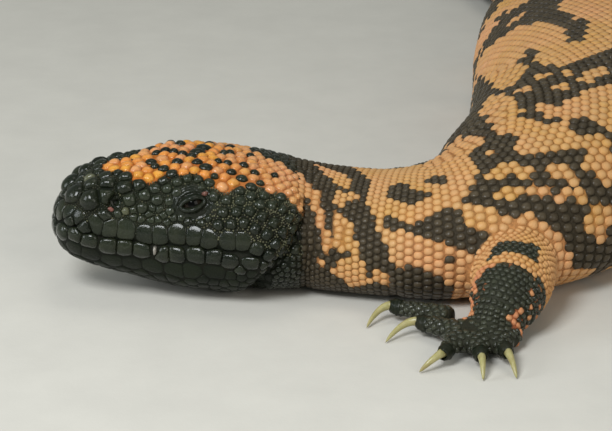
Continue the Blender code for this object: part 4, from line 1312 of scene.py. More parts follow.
def all_scales(settings, palette):
    """Places, sizes, outlines and colours of every scale on the animal."""
    rng = np.random.default_rng(settings.seed)
    tree, skin = MADE["tree"], MADE["points"]
    named = head_seeds()
    fixed = project(tree, [row[0] for row in named])
    rows = np.array(limb_seeds())
    landed = project(tree, rows)
    rows = landed[np.linalg.norm(landed - rows, axis=1) < 0.9]
    beads = project(tree, body_seeds())
    points = np.concatenate([fixed, rows, beads])
    kind = np.repeat((NAMED, LIMB_ROW, BEAD), (len(fixed), len(rows), len(beads)))
    facts = place_facts(points)
    size = size_at(facts)
    size[kind == NAMED] = [0.9 * (row[1] + row[2]) for row in named]
    keep = thinned(points, size, kind == NAMED, np.where(kind == BEAD, 0.86, 0.7))
    right_part = (kind == LIMB_ROW) == facts["limb"]
    keep &= (kind == NAMED) | (keep_clear(points, facts) & right_part)
    points, size, kind = points[keep], size[keep], kind[keep]
    points = settled(points, size, kind != BEAD, tree, 4)
    spare = surface_samples(MADE["mesh"], skin, BODY_SAMPLES, rng)
    more = surface_samples(MADE["mesh"], skin, HEAD_SAMPLES, rng, near_head(skin))
    spare = np.concatenate([spare, more])
    spare_facts = place_facts(spare)
    clear = keep_clear(spare, spare_facts) & ~spare_facts["toe"]
    spare = spare[clear]
    spare_size = size_at({k: v[clear] for k, v in spare_facts.items()})
    added = filled(points, size, spare, spare_size, 0.84)
    points = np.concatenate([points, spare[added]])
    size = np.concatenate([size, spare_size[added]])
    kind = np.concatenate([kind, np.full(len(added), BEAD)])
    points = settled(points, size, kind != BEAD, tree, 9)
    facts = place_facts(points)
    keep = (kind == NAMED) | keep_clear(points, facts)
    facts = {k: v[keep] for k, v in facts.items()}
    return finished_scales(points[keep], size[keep], facts, named, palette, rng)


def scale_shapes(facts, size, normal, pale, named):
    """Half length, half width, height, flatness, squareness, lean and gap of each scale."""
    s, arc, limb, toe = facts["s"], facts["arc"], facts["limb"], facts["toe"]
    line = read_off(LIP_LINE, s)
    head = (s < 60) & ~limb
    crown = head & (np.abs(arc) < 16) & (s > 9)
    temple = head & (s > 34) & (facts["height"] > line + 2) & (np.abs(arc) > 15)
    chin = head & (facts["height"] < line - 5) & (s < 50.5)
    cheek = head & (s > 47) & (facts["height"] < 17) & ~chin
    belly = ~limb & ~head & (normal[:, 2] < -0.45)
    shape = {
        "long": 0.62 * size, "wide": 0.62 * size, "high": np.where(pale, 0.20, 0.25) * size,
        "flat": np.full(len(s), 2.3), "square": np.full(len(s), 2.0),
        "tilt": np.zeros(len(s)), "gap": np.where(pale, 0.05, 0.11 + 0.01 * size),
    }
    for zone, (long, wide, high, *rest) in zip(
        (head, crown, temple, chin, cheek, belly, limb, toe), ZONE_SHAPES
    ):
        for key, value in zip(SHAPE_KEYS, (long * size, wide * size, high * size, *rest)):
            shape[key] = np.where(zone, value, shape[key])
    for k, (_, long, wide, proud, flat, square, _) in enumerate(named):
        lean = 0.22 if square == LIP_SQUARE else 0.0
        for key, value in zip(SHAPE_KEYS, (long, wide, proud, flat, square, lean, 0.03)):
            shape[key][k] = value
    return shape, head, chin


def finished_scales(points, size, facts, named, palette, rng):
    """Directions, outlines, heights, colours and bake places of the settled scales."""
    count = len(points)
    s, arc, limb = facts["s"], facts["arc"], facts["limb"]
    near = [MADE["kd"].find_n(p, 5) for p in points]
    normal = np.array([MADE["normals"][[f[1] for f in found]].mean(0) for found in near])
    normal /= np.linalg.norm(normal, axis=1)[:, None]
    _, ahead = spine_at(s)
    way = np.concatenate([ahead, np.zeros((count, 1))], 1)
    way = np.where(limb[:, None], facts["way"], way)
    along = way - normal * np.sum(way * normal, 1)[:, None]
    along /= np.linalg.norm(along, axis=1)[:, None] + 1e-9
    across = np.cross(normal, along)
    pale = np.where(limb, limb_pale(points, facts), body_pale(s, arc, points))
    pale[: len(named)] = False
    shape, head, chin = scale_shapes(facts, size, normal, pale, named)
    edge = cell_outlines(points, along, across, size, shape, 24)
    tint = tint_of(palette, pale, facts, points, rng)
    for k, row in enumerate(named):
        if row[6] != "black":
            tint[k] = palette[row[6]]
    around = (facts["angle"] + math.pi / 2) / (2 * math.pi)
    along_limb = (TUBE_TOE[facts["which"]] + facts["share"]) / 6
    spot = np.stack([along_limb, (facts["turn"] + math.pi) / (2 * math.pi)], 1)
    bake = np.where(limb[:, None], spot, np.stack([s / TOTAL_LENGTH, around], 1))
    return {
        "points": points, "normal": normal, "along": along, "across": across, "outline": edge,
        "high": shape["high"], "flat": shape["flat"], "tilt": shape["tilt"], "tint": tint,
        "pale": pale, "limb": limb, "head": head, "chin": chin, "s": s, "bake": bake,
        "limb_index": TUBE_LIMB[facts["which"]],
    }


def granules(scales, settings, palette):
    """Tiny round scales in the furrows of the face, light ones on the temple."""
    rng = np.random.default_rng(settings.seed + 7)
    skin = MADE["points"]
    upper = near_head(skin) & (skin[:, 2] > 8)
    spare = surface_samples(MADE["mesh"], skin, GRANULE_SAMPLES, rng, upper)
    facts = place_facts(spare)
    line = read_off(LIP_LINE, facts["s"])
    zone = (facts["s"] > 2) & (facts["s"] < 61) & (facts["height"] > line + 2.4)
    zone &= ~head_pale(facts["s"], facts["arc"]) & ~facts["limb"] & keep_clear(spare, facts)
    spare = spare[zone]
    tree = kd_tree(scales["points"])
    reach = scales["outline"].mean(1)
    free = []
    for p in spare:
        near = tree.find_n(p, 3)
        free.append(all(away > reach[k] + 0.06 for _, k, away in near))
    spare = spare[np.array(free)]
    spacing = np.full(len(spare), GRANULE_SPACING)
    added = filled(np.zeros((0, 3)), np.zeros(0), spare, spacing, 1.0)
    points = spare[added]
    count = len(points)
    normal = np.array([MADE["normals"][MADE["kd"].find(p)[1]] for p in points])
    s, _, _, angle, arc = body_place(points)
    _, ahead = spine_at(s)
    way = np.concatenate([ahead, np.zeros((count, 1))], 1)
    along = way - normal * np.sum(way * normal, 1)[:, None]
    along /= np.linalg.norm(along, axis=1)[:, None]
    size = rng.uniform(0.23, 0.32, count)
    light = np.array(palette["granule"]) * rng.uniform(0.5, 1.25, (count, 1))
    dark = np.array(palette["black"]) * 2.0
    share = np.where((s > 33) & (np.abs(arc) > 13), 0.8, 0.08)[:, None]
    tint = np.where(rng.random((count, 1)) < share, light, dark)
    return {
        "points": points, "normal": normal, "along": along, "across": np.cross(normal, along),
        "outline": np.repeat(size[:, None], 24, 1), "high": size * 1.1,
        "flat": np.full(count, 2.2), "tilt": np.zeros(count), "tint": tint,
        "bake": np.stack([s / TOTAL_LENGTH, (angle + math.pi / 2) / (2 * math.pi)], 1),
    }


# Materials


def new_material(name, roughness, coat=0.0, coat_roughness=0.1, specular=0.5):
    """A material with its node tree and shader."""
    made = bpy.data.materials.new(name)
    made.use_nodes = True
    tree = made.node_tree
    shader = tree.nodes["Principled BSDF"]
    shader.inputs["Roughness"].default_value = roughness
    shader.inputs["Coat Weight"].default_value = coat
    shader.inputs["Coat Roughness"].default_value = coat_roughness
    shader.inputs["Coat IOR"].default_value = 1.33
    shader.inputs["Specular IOR Level"].default_value = specular
    return made, tree, shader


def node(tree, kind, inputs=None, **settings):
    """A node with its settings, and its inputs linked or set."""
    made = tree.nodes.new(kind)
    for key, value in settings.items():
        setattr(made, key, value)
    for key, value in (inputs or {}).items():
        if isinstance(value, bpy.types.NodeSocket):
            tree.links.new(value, made.inputs[key])
        else:
            made.inputs[key].default_value = value
    return made


def painted(tree, name, output):
    """A colour or a number that the mesh carries."""
    return node(tree, "ShaderNodeAttribute", attribute_name=name).outputs[output]


def noise(tree, scale, detail=4.0, roughness=0.55):
    """Noise in the object's own metres."""
    where = node(tree, "ShaderNodeTexCoord")
    inputs = {"Vector": where.outputs["Object"], "Scale": scale, "Detail": detail,
              "Roughness": roughness}
    return node(tree, "ShaderNodeTexNoise", inputs).outputs["Fac"]


def ramp(tree, value, low, high, out_low, out_high):
    """A number moved from one range to another."""
    inputs = {"Value": value, "From Min": low, "From Max": high, "To Min": out_low,
              "To Max": out_high}
    return node(tree, "ShaderNodeMapRange", inputs).outputs["Result"]


def mixed(tree, share, a, b):
    """One colour laid over another by a share."""
    made = node(tree, "ShaderNodeMix", data_type="RGBA", blend_type="MIX")
    for index, value in ((0, share), (6, a), (7, b)):
        if isinstance(value, bpy.types.NodeSocket):
            tree.links.new(value, made.inputs[index])
        else:
            made.inputs[index].default_value = value
    return made.outputs[2]


def layered(tree, colour, mask, low, high, amount, over):
    """Another colour laid over one where a mask is high."""
    return mixed(tree, ramp(tree, mask, low, high, 0.0, amount), colour, (*over, 1))


def colour_and_roughness(tree, shader, colour, grain, low, high):
    """Links a shader's colour, and a roughness that follows the grain."""
    tree.links.new(colour, shader.inputs["Base Color"])
    tree.links.new(ramp(tree, grain, 0.3, 0.7, low, high), shader.inputs["Roughness"])


def bump(tree, shader, height, strength, distance, layer="Normal"):
    """Fine relief for the shader or its coat."""
    inputs = {"Height": height, "Strength": strength, "Distance": distance}
    made = node(tree, "ShaderNodeBump", inputs)
    tree.links.new(made.outputs["Normal"], shader.inputs[layer])


def scale_material(name):
    """Horn over bone: its own tint, darker at the root from painted shade and dirt, lighter on top
    from painted light, with pores and fine grain.
    """
    roughness, coat, wet, root_shade, painted_top_light, root, top, dirt, grain = FINISHES[name]
    made, tree, shader = new_material(name, roughness, coat, wet, 0.08)
    tint = painted(tree, "tint", "Color")
    rise = painted(tree, "rise", "Fac")
    broad = noise(tree, 260.0, 3.0)
    fine = noise(tree, 1900.0, 5.0, 0.62)
    creased = noise(tree, 720.0, 4.0, 0.6)
    # Painted shade and dirt darken each scale's root, and painted light brightens its top, by the
    # rise
    colour = mixed(tree, ramp(tree, rise, 0.0, 0.75, root_shade, 0.0), tint, (*root, 1))
    colour = layered(tree, colour, rise, 0.7, 1.0, painted_top_light, top)
    colour = layered(tree, colour, broad, 0.35, 0.7, 0.35, dirt)
    colour = layered(tree, colour, fine, 0.5, 0.75, 0.22, dirt)
    colour_and_roughness(tree, shader, colour, fine, roughness - 0.1, roughness + 0.16)
    bump(tree, shader, mixed(tree, 0.5, creased, fine), 1.0, grain * 0.0007)
    bump(tree, shader, creased, 1.0, grain * 0.00009, "Coat Normal")
    return made


def skin_material():
    """Soft skin between the scales, black or rose by the same markings, creased and matt."""
    made, tree, shader = new_material("skin_between_scales", 0.62, 0.0, 0.3, 0.12)
    tint = painted(tree, "tint", "Color")
    fine = noise(tree, 1500.0, 6.0, 0.65)
    broad = noise(tree, 180.0, 3.0)
    colour = layered(tree, tint, fine, 0.4, 0.7, 0.4, (0.012, 0.011, 0.008))
    colour = layered(tree, colour, broad, 0.4, 0.7, 0.3, (0.018, 0.014, 0.009))
    colour_and_roughness(tree, shader, colour, fine, 0.5, 0.75)
    bump(tree, shader, fine, 0.5, 0.0005)
    return made


def claw_material():
    """Pale translucent horn, dark at the quick, with fine lengthwise streaks."""
    made, tree, shader = new_material("claw_horn", 0.34, 0.35, 0.2, 0.5)
    along = painted(tree, "rise", "Fac")
    streak = noise(tree, 900.0, 5.0, 0.6)
    broad = noise(tree, 220.0, 2.0)
    colour = mixed(tree, ramp(tree, along, 0.0, 0.4, 0.0, 1.0), (0.085, 0.075, 0.030, 1),
                   (0.33, 0.30, 0.12, 1))
    colour = layered(tree, colour, streak, 0.45, 0.7, 0.5, (0.46, 0.40, 0.20))
    colour = layered(tree, colour, broad, 0.5, 0.75, 0.5, (0.20, 0.12, 0.05))
    colour_and_roughness(tree, shader, colour, streak, 0.26, 0.46)
    shader.inputs["Subsurface Weight"].default_value = 0.12
    shader.inputs["Subsurface Radius"].default_value = (0.0016, 0.001, 0.0005)
    bump(tree, shader, streak, 0.25, 0.0003)
    return made


def eye_material():
    """A wet, nearly black eye with a dark brown ring round its pupil."""
    made, tree, shader = new_material("eye_wet_black", 0.12, 0.6, 0.03, 0.0)
    ring = painted(tree, "rise", "Fac")
    fibre = noise(tree, 1400.0, 4.0)
    iris = mixed(tree, ramp(tree, fibre, 0.35, 0.7, 0.0, 1.0), (0.005, 0.003, 0.002, 1),
                 (0.014, 0.009, 0.005, 1))
    colour = mixed(tree, ramp(tree, ring, 0.30, 0.40, 0.0, 1.0), (0.001, 0.001, 0.001, 1), iris)
    colour = layered(tree, colour, ring, 0.72, 0.82, 1.0, (0.006, 0.006, 0.006))
    colour_and_roughness(tree, shader, colour, fibre, 0.08, 0.16)
    bump(tree, shader, fibre, 0.3, 0.00003)
    return made


def floor_material(colour):
    """Pale, nearly even, matt board."""
    made, tree, shader = new_material("pale_floor", 0.8, 0.0, 0.3, 0.3)
    grain = noise(tree, 60.0, 4.0)
    pale = (*colour, 1)
    dull = (*(c * 0.93 for c in colour), 1)
    colour = mixed(tree, ramp(tree, grain, 0.3, 0.7, 0.0, 1.0), pale, dull)
    colour_and_roughness(tree, shader, colour, grain, 0.7, 0.85)
    bump(tree, shader, noise(tree, 900.0), 0.3, 0.0001)
    return made


# Small parts of the head


def ring_places(count, rows):
    """Bake places for rings: once across for each ring, and up from ring to ring."""
    across = np.tile(np.arange(count) / count, rows)
    return np.stack([across, np.repeat(np.arange(rows) / rows, count)], 1)


def loft_arrays(rings, close_ends=(False, False)):
    """Points and faces over open or closed rings."""
    count = len(rings[0])
    verts = np.concatenate(rings)
    j = np.arange(count)
    k = (j + 1) % count
    quads = np.concatenate([
        np.stack([i * count + j, i * count + k, (i + 1) * count + k, (i + 1) * count + j], 1)
        for i in range(len(rings) - 1)
    ])
    tris = []
    for end, ring in ((0, 0), (1, len(rings) - 1)):
        if close_ends[end]:
            verts = np.concatenate([verts, [rings[ring].mean(0)]])
            centre = np.full(count, len(verts) - 1)
            a, b = (k, j) if end == 0 else (j, k)
            tris.append(np.stack([ring * count + a, ring * count + b, centre], 1))
    tris = np.concatenate(tris) if tris else np.zeros((0, 3), int)
    return verts, quads, tris


def ring_data(rings, shade, colour, caps=(None, None), flip=False):
    """Rings as arrays of a mesh. A cap closes an end, and gives its shade and bake place."""
    verts, quads, tris = loft_arrays(rings, [cap is not None for cap in caps])
    closed = [cap for cap in caps if cap]
    shade = np.concatenate([shade, [cap[0] for cap in closed]])
    places = [ring_places(len(rings[0]), len(rings)), *[[cap[1:]] for cap in closed]]
    tint = np.repeat(np.array(colour)[None], len(verts), 0)
    return verts, quads[:, ::-1] if flip else quads, tris, tint, shade, np.concatenate(places)


def lid_rings(sign):
    """The lids as one soft sheet: a thick rim round the opening, two folds, then the skin."""
    centre, facing, upward, backward = eye_frame(sign)
    turn = full_turn(96)
    cosine, sine = np.cos(turn), np.sin(turn)
    upper = smooth_step(sine, -0.2, 0.5)
    tilt = math.radians(17.0)
    ball = EYE_RADIUS + 0.16
    rings, shades = [], []
    for beyond, low, high, shade in LID_PROFILE:
        along = (2.45 + 0.88 * beyond) * np.sign(cosine) * np.abs(cosine) ** 0.92
        up = (0.82 + beyond * (1.08 + 0.1 * upper)) * np.sign(sine) * np.abs(sine) ** 1.15
        along, up = (along * math.cos(tilt) - up * math.sin(tilt),
                     along * math.sin(tilt) + up * math.cos(tilt))
        depth = np.sqrt(np.maximum(ball**2 - np.minimum(along**2 + up**2, 7.0), 0.2))
        flat = centre + np.outer(along, backward) + np.outer(up, upward)
        skin = []
        for p in flat + facing * 9.0:
            hit = MADE["tree"].ray_cast(p.tolist(), (-facing).tolist(), 9.0)[0]
            skin.append((np.array(hit) - centre) @ facing if hit else 2.0)
        share = smooth_step(beyond, 0.9, 2.9)
        level = depth * (1 - share) + np.array(skin) * share
        crease = 0.05 * (np.sin(turn * 26 + beyond * 3) + 1.4 * np.sin(turn * 11 - beyond * 5))
        crease *= smooth_step(beyond, 0.3, 1.2)
        crease *= 1 - smooth_step(beyond, 2.6, 3.2)
        level += low * (1 - upper) + high * upper + crease
        rings.append(flat + np.outer(level, facing))
        # Painted light on the crests and painted shade in the creases of the lids
        shades.append(np.full(96, shade))
    return rings, np.concatenate(shades)


def pit_rings(place, outward, radius, tall, depth):
    """A pit's dark lining: a funnel that starts below the edge of the hollow in the skin."""
    turn = full_turn(32)
    side = unit(np.cross((0.0, 0.0, 1.0), outward))
    up = np.cross(outward, side)
    rings = []
    uneven = 1 + 0.10 * np.cos(turn - 0.6) + 0.06 * np.sin(3 * turn)
    for grow, out in (*PIT_PROFILE, (0.8, -depth * 0.65), (0.55, -depth)):
        ring = np.outer(np.cos(turn) * radius * grow * uneven, side)
        ring += np.outer(np.sin(turn) * (tall + radius * (grow - 1)) * uneven, up)
        rings.append(place + ring + outward * out)
    return rings


def skin_normal(point):
    """The skin's direction outwards near a point."""
    found = [k for _, k, _ in MADE["kd"].find_n(point, 12)]
    return unit(MADE["normals"][found].mean(0))


# Settings


class GilaSkin(bpy.types.PropertyGroup):
    """How finely the skin is made"""

    voxel: FloatProperty(
        name="Fineness", description="Size of the skin's faces", default=0.00105, min=0.0005,
        precision=5, unit="LENGTH",
    )
    depth: FloatProperty(
        name="Depth under the scales", description="How far the skin lies inside the outline",
        default=0.0004, precision=5, unit="LENGTH",
    )


class GilaScales(bpy.types.PropertyGroup):
    """How the scales are scattered and how high they stand"""

    seed: IntProperty(name="Seed", description="Changes the scatter of the scales", default=5)
    height: FloatProperty(
        name="Height", description="Height of the scales against the ones measured",
        default=1.0, min=0.2, max=2.0, subtype="FACTOR",
    )


def colour_property(name, description, default):
    """A colour that a user can change."""
    return FloatVectorProperty(
        name=name, description=description, default=default, size=3, min=0, max=1,
        subtype="COLOR",
    )


class GilaColours(bpy.types.PropertyGroup):
    """The animal's colours"""

    black: colour_property("Black", "Black scales of the head", (0.0055, 0.0090, 0.0042))
    umber: colour_property("Umber", "Black scales of the body", (0.056, 0.043, 0.026))
    leg: colour_property("Leg", "Black scales of the limbs", (0.038, 0.040, 0.026))
    peach: colour_property("Peach", "Pale scales of the trunk", (0.55, 0.315, 0.125))
    amber: colour_property("Amber", "Warmer pale scales", (0.52, 0.285, 0.066))
    rose: colour_property("Rose", "Pinker pale scales", (0.62, 0.295, 0.155))
    orange: colour_property("Orange", "Shields of the crown", (0.66, 0.225, 0.050))
    gold: colour_property("Gold", "Middle of the crown's shields", (0.66, 0.30, 0.035))
    blush: colour_property("Blush", "Single pink scales of the face", (0.24, 0.10, 0.08))
    chalk: colour_property("Chalk", "The light mark on the lower lip", (0.36, 0.33, 0.29))
    salmon: colour_property("Salmon", "Flecks on the limbs", (0.50, 0.17, 0.085))
    granule: colour_property("Granule", "Granules of the temple", (0.115, 0.118, 0.068))


class GilaStage(bpy.types.PropertyGroup):
    """Floor, light and lens"""

    floor: colour_property("Floor", "The pale floor", (0.62, 0.60, 0.55))
    key: FloatProperty(
        name="Key light", description="Power of the main light", default=4.6, unit="POWER"
    )
    lens: FloatProperty(
        name="Lens", description="Focal length in millimetres", default=168.0, min=20
    )


COLOURS = (
    "black", "umber", "leg", "peach", "amber", "rose", "orange", "gold", "blush", "chalk",
    "salmon", "granule",
)


def palette_of(scene):
    """The colours of the settings by name."""
    return {name: tuple(getattr(scene.gila_colours, name)) for name in COLOURS}


FLESH = ("head", "lower_jaw", "neck", "chest", "trunk", "hips", "tail_base", "tail_middle",
         "tail_tip")
LIMB_PARTS = {"front": ("upper_arm", "forearm", "foot"), "hind": ("thigh", "shin", "foot")}


def flesh_nodes():
    """Names of the solids that the skin replaces."""
    nodes = list(FLESH)
    for name in LIMBS:
        nodes += [f"{name}_{part}" for part in LIMB_PARTS[name.split("_")[0]]]
    return nodes


# Operators


class GILA_OT_skin(bpy.types.Operator):
    """One skin over the whole animal, in place of the solids of its flesh"""

    bl_idname = "gila.skin"
    bl_label = "Skin"

    def execute(self, context):
        settings = context.scene.gila_skin
        depth = settings.depth / MM
        shells = [body_shell(depth)]
        for _, toe, *path, _ in TUBES:
            shells.append(tube_shell(*path, TOE_DEPTH if toe else LIMB_DEPTH, toe > 0))
        shells += [pad_shell(limb[2], PAD_DEPTH) for limb in LIMBS.values()]
        mesh = remeshed(*joined_shells(shells), settings.voxel)
        points = coordinates(mesh)
        amount = np.where(body_place(points)[0] < 56, 0.3, 0.5)
        points = relaxed_surface(mesh, points, 7, amount)
        set_coordinates(mesh, points)
        smooth = vertex_normals(mesh)
        polygons = [tuple(p.vertices) for p in mesh.polygons]
        closed = carved(points, smooth, 0.0)
        MADE["closed"] = BVHTree.FromPolygons(closed.tolist(), polygons)
        points = carved(points, smooth)
        points = relaxed_surface(mesh, points, 1, np.full(len(points), 0.25))
        points[:, 2] = np.maximum(points[:, 2], SKIN_LOWEST)
        set_coordinates(mesh, points)
        facts = place_facts(points)
        pale = body_pale(facts["s"], facts["arc"], points)
        pale = np.where(facts["limb"], limb_pale(points, facts), pale)
        palette = palette_of(context.scene)
        rng = np.random.default_rng(1)
        tint = tint_of(palette, pale, facts, points, rng, 0.0)
        # The skin darker than its scales: its own tone and painted shade in the furrows
        tint = tint * np.where(pale[:, None], PALE_SKIN_SHADE, DARK_SKIN_SHADE)
        paint(mesh, tint)
        mesh.shade_smooth()
        made = piece("skin", mesh, skin_material(), "black_scales")
        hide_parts(*flesh_nodes())
        MADE["mesh"] = mesh
        MADE["points"] = points
        MADE["normals"] = vertex_normals(mesh)
        MADE["tree"] = BVHTree.FromPolygons(points.tolist(), polygons)
        MADE["kd"] = kd_tree(points)
        return {"FINISHED"}


class GILA_OT_scales(bpy.types.Operator):
    """Beads, shields and plates over the skin, as joined meshes"""

    bl_idname = "gila.scales"
    bl_label = "Scales"

    def execute(self, context):
        settings = context.scene.gila_scales
        palette = palette_of(context.scene)
        scales = all_scales(settings, palette)
        scales["high"] = scales["high"] * settings.height
        finish = {name: scale_material(name) for name in SCALE_FINISHES}
        s, pale, limb = scales["s"], scales["pale"], scales["limb"]
        regions = {"head": scales["head"] & ~scales["chin"], "chin": scales["chin"]}
        for name, low, high in BODY_REGIONS:
            regions[name] = ~limb & (s >= low) & (s < high)
        regions["forelimb"] = limb & (scales["limb_index"] < 2)
        regions["hindlimb"] = limb & (scales["limb_index"] >= 2)
        for name, region in regions.items():
            on_head = name in ("head", "chin")
            corners, levels = (24, HEAD_DOME) if on_head else (12, BEAD_DOME)
            pale_finish, dark_finish = REGION_FINISHES.get(name, BODY_FINISHES)
            for part, word, looks, slot in (
                (pale, "pale", pale_finish, pale_finish),
                (~pale, "black", dark_finish, "black_scales"),
            ):
                keep = np.where(region & part)[0]
                if len(keep):
                    data = dome_mesh(scales, keep, corners, levels, on_head)
                    made_piece(f"{name}_{word}_scales", data, finish[looks], slot)
        small = granules(scales, settings, palette)
        data = dome_mesh(small, np.arange(len(small["points"])), 8, GRANULE_DOME)
        made_piece("temple_granules", data, finish["black_scales"], "black_scales")
        return {"FINISHED"}


class GILA_OT_face(bpy.types.Operator):
    """Lids, nostrils and ear openings"""

    bl_idname = "gila.face"
    bl_label = "Lids, nostrils and ears"

    def execute(self, context):
        black = palette_of(context.scene)["black"]
        smooth = scale_material("smooth_black_skin")
        for sign, word in SIDES:
            data = ring_data(*lid_rings(sign), black, flip=sign < 0)
            made_piece(f"eyelids_{word}", data, smooth, "black_scales")
            for name, (at, level), radius, tall, depth in (
                ("nostril", NOSTRIL, 1.35, 1.3, 3.2), ("ear_opening", EAR, 0.36, 1.1, 1.6),
            ):
                rim = flank_point(at, level, sign)
                outward = skin_normal(rim)
                rings = pit_rings(rim + outward * 0.1, outward, radius, tall, depth)
                # The lining's painted light and shade ring by ring, and painted shade at its closed
                # bottom
                shade = np.repeat(PIT_SHADES, len(rings[0]))
                data = ring_data(rings, shade, black, (None, (0.0, 0.5, 0.95)))
                made_piece(f"{name}_{word}", data, smooth, "black_scales")
        return {"FINISHED"}


class GILA_OT_eyes(bpy.types.Operator):
    """Two wet, dark eyes in place of the plain balls"""

    bl_idname = "gila.eyes"
    bl_label = "Eyes"

    def execute(self, context):
        finish = eye_material()
        for sign, word in SIDES:
            centre, facing, upward, backward = eye_frame(sign)
            turn = full_turn(48)
            rings, shade = [], []
            for degrees in np.linspace(2, 176, 40):
                polar = math.radians(degrees)
                bulge = 0.16 * hump(degrees, 38)
                size = EYE_RADIUS - 0.08 + bulge
                ring = np.outer(np.cos(turn) * math.sin(polar), backward)
                ring += np.outer(np.sin(turn) * math.sin(polar), upward)
                rings.append(centre + size * (ring + facing * math.cos(polar)))
                shade.append(np.full(48, min(degrees / 62, 1.0)))
            caps = ((0.0, 0.5, 0.0), (1.0, 0.5, 1.0))
            data = ring_data(rings, np.concatenate(shade), (0.01, 0.01, 0.01), caps)
            made = made_piece(f"eye_{word}_ball", data, finish, "eye_wet_black")
            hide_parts(f"eye_{word}")
        return {"FINISHED"}


def claw_rings(root, end, tip):
    """A curved claw from inside its toe to its tip, deeper than wide, hollow beneath."""
    along = unit(np.array((end[0] - root[0], end[1] - root[1], 0.0)))
    start = np.array((*end, TOE_HEIGHTS[2])) + along * (CLAW_GAP - 1.4)
    point = np.array((*tip, 0.3))
    bend = start + along * np.linalg.norm(point - start) * 0.5 + (0, 0, 1.3)
    turn = full_turn(18)
    rings, shade = [], []
    for share in np.linspace(0, 1, 22):
        centre = start * (1 - share) ** 2 + bend * 2 * share * (1 - share) + point * share**2
        heading = unit((bend - start) * (1 - share) + (point - bend) * share)
        level = unit(np.cross(heading, (0, 0, 1)))
        upright = np.cross(level, heading)
        size = (0.42 + 1.12 * (1 - share) ** 0.8) * (1 - share**14) ** 0.5
        under = np.where(np.sin(turn) < 0, 0.72, 1.0)
        ring = np.outer(np.cos(turn) * 0.76, level) + np.outer(np.sin(turn) * under, upright)
        ring = centre + size * ring
        ring[:, 2] = np.maximum(ring[:, 2], CLAW_LOWEST)
        rings.append(ring)
        shade.append(np.full(18, share))
    return rings, shade


def sheath_rings(root, end):
    """The dark scale that caps the end of a toe over the root of its claw."""
    along = unit(np.array((end[0] - root[0], end[1] - root[1], 0.0)))
    level = np.cross(along, (0, 0, 1.0))
    start = np.array((*end, TOE_HEIGHTS[2] + 0.1))
    turn = full_turn(24)
    rings = []
    for ahead, size in SHEATH_PROFILE:
        top = np.where(np.sin(turn) > 0, 0.16 * np.sin(turn), 0.0)
        wide = size * (1 + 0.05 * np.cos(5 * turn + ahead * 2.5))
        ring = np.outer(np.cos(turn) * wide * 0.92, level)
        ring += np.outer(np.sin(turn) * wide, (0, 0, 1.0))
        ring = start + ring + along * ahead + np.outer(top * 2.4, along)
        ring[:, 2] = np.maximum(ring[:, 2], SHEATH_LOWEST)
        rings.append(ring)
    return rings


def joined_toes(parts):
    """The same small part of five toes as one mesh, each with its own strip of bake places."""
    stores, start = ([], [], [], [], [], []), 0
    for k, (verts, quads, tris, tint, shade, spot) in enumerate(parts):
        spot = spot * (0.18, 0.9) + (0.2 * k + 0.01, 0.05)
        for store, value in zip(stores, (verts, quads + start, tris + start, tint, shade, spot)):
            store.append(value)
        start += len(verts)
    return [np.concatenate(store) for store in stores]


class GILA_OT_claws(bpy.types.Operator):
    """Twenty curved claws of pale horn, each with the dark scale at its root"""

    bl_idname = "gila.claws"
    bl_label = "Claws"

    def execute(self, context):
        horn = claw_material()
        black = scale_material("claw_sheaths")
        dark = palette_of(context.scene)["black"]
        for name, (_, _, _, toes) in LIMBS.items():
            claws, sheaths = [], []
            for root, end, tip in toes:
                rings, shade = claw_rings(root, end, tip)
                caps = ((0.0, 0.5, 0.5), (1.0, 0.5, 0.5))
                claws.append(ring_data(rings, np.concatenate(shade), dark, caps))
                # The caps' ridges get painted light and their grooves painted shade
                sheaths.append(ring_data(sheath_rings(root, end), np.repeat(SHEATH_SHADES, 24), dark))
            made = made_piece(f"claws_{name}", joined_toes(claws), horn, "claw_horn")
            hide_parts(*[f"{name}_claw_{k}" for k in range(1, 6)])
            made_piece(f"claw_sheaths_{name}", joined_toes(sheaths), black, "black_scales")
        return {"FINISHED"}


def set_up(name, data, place):
    """Puts a lamp or the camera at a place, facing the animal."""
    made = bpy.data.objects.new(name, data)
    bpy.context.scene.collection.objects.link(made)
    made.location = place
    way = (np.array(CAMERA_FOCUS) - np.array(place)).tolist()
    made.rotation_euler = Vector(way).to_track_quat("-Z", "Y").to_euler()
    return made


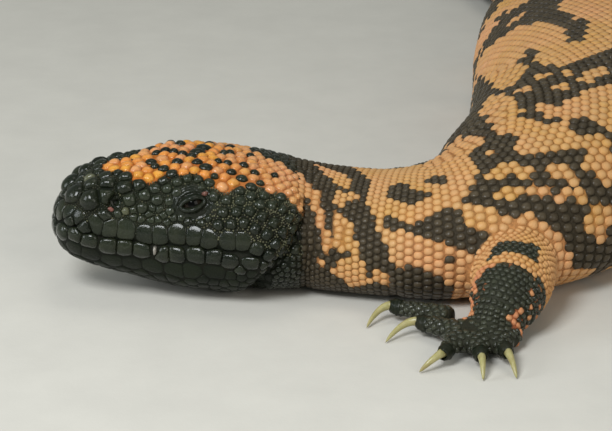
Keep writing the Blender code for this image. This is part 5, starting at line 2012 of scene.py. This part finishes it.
class GILA_OT_stage(bpy.types.Operator):
    """The pale floor, the soft lights and the camera"""

    bl_idname = "gila.stage"
    bl_label = "Stage"

    def execute(self, context):
        settings = context.scene.gila_stage
        reach = FLOOR_REACH
        corners = [(-reach, -reach, 0), (reach, -reach, 0), (reach, reach, 0), (-reach, reach, 0)]
        mesh = bpy.data.meshes.new("floor")
        mesh.from_pydata(corners, [], [(0, 1, 2, 3)])
        mesh.materials.append(floor_material(tuple(settings.floor)))
        floor = bpy.data.objects.new("floor", mesh)
        context.scene.collection.objects.link(floor)
        for name, place, wide, share, colour in LIGHTS:
            lamp = bpy.data.lights.new(name, "AREA")
            lamp.size = wide
            lamp.energy = settings.key * share
            lamp.color = colour
            set_up(name, lamp, place)
        world = bpy.data.worlds.new("soft_world")
        world.use_nodes = True
        back = world.node_tree.nodes["Background"]
        back.inputs["Color"].default_value = WORLD_COLOUR
        back.inputs["Strength"].default_value = WORLD_STRENGTH
        context.scene.world = world
        context.scene.view_settings.view_transform = "Standard"
        camera = bpy.data.cameras.new("camera")
        camera.lens = settings.lens
        camera.sensor_width = 36.0
        camera.clip_start = 0.01
        back_off = CAMERA_DISTANCE * math.cos(CAMERA_RISE)
        height = CAMERA_DISTANCE * math.sin(CAMERA_RISE)
        place = (CAMERA_FOCUS[0], CAMERA_FOCUS[1] - back_off, CAMERA_FOCUS[2] + height)
        context.scene.camera = set_up("camera", camera, place)
        return {"FINISHED"}


class GILA_PT_panel(bpy.types.Panel):
    """Lists the animal's pieces and their settings"""

    bl_idname = "GILA_PT_panel"
    bl_label = "Gila monster"
    bl_space_type = "VIEW_3D"
    bl_region_type = "UI"
    bl_category = "Gila monster"

    def draw(self, context):
        scene = context.scene
        for group, names in (
            (scene.gila_skin, ("voxel", "depth")), (scene.gila_scales, ("seed", "height")),
            (scene.gila_colours, COLOURS), (scene.gila_stage, ("floor", "key", "lens")),
        ):
            box = self.layout.box()
            for name in names:
                box.prop(group, name)
        for operator in OPERATORS:
            self.layout.operator(operator.bl_idname)


GROUPS = (
    ("gila_skin", GilaSkin), ("gila_scales", GilaScales), ("gila_colours", GilaColours),
    ("gila_stage", GilaStage),
)
OPERATORS = (
    GILA_OT_skin, GILA_OT_scales, GILA_OT_face, GILA_OT_eyes, GILA_OT_claws, GILA_OT_stage,
)


def register():
    """Adds the settings, operators and panel to the program."""
    for name, group in GROUPS:
        bpy.utils.register_class(group)
        setattr(bpy.types.Scene, name, PointerProperty(type=group))
    for operator in OPERATORS:
        bpy.utils.register_class(operator)
    bpy.utils.register_class(GILA_PT_panel)


def unregister():
    """Takes them out again."""
    bpy.utils.unregister_class(GILA_PT_panel)
    for operator in reversed(OPERATORS):
        bpy.utils.unregister_class(operator)
    for name, group in reversed(GROUPS):
        delattr(bpy.types.Scene, name)
        bpy.utils.unregister_class(group)


def main():
    """Makes every piece in order."""
    register()
    bpy.ops.gila.skin()
    bpy.ops.gila.scales()
    bpy.ops.gila.face()
    bpy.ops.gila.eyes()
    bpy.ops.gila.claws()
    bpy.ops.gila.stage()


if __name__ == "__main__":
    main()
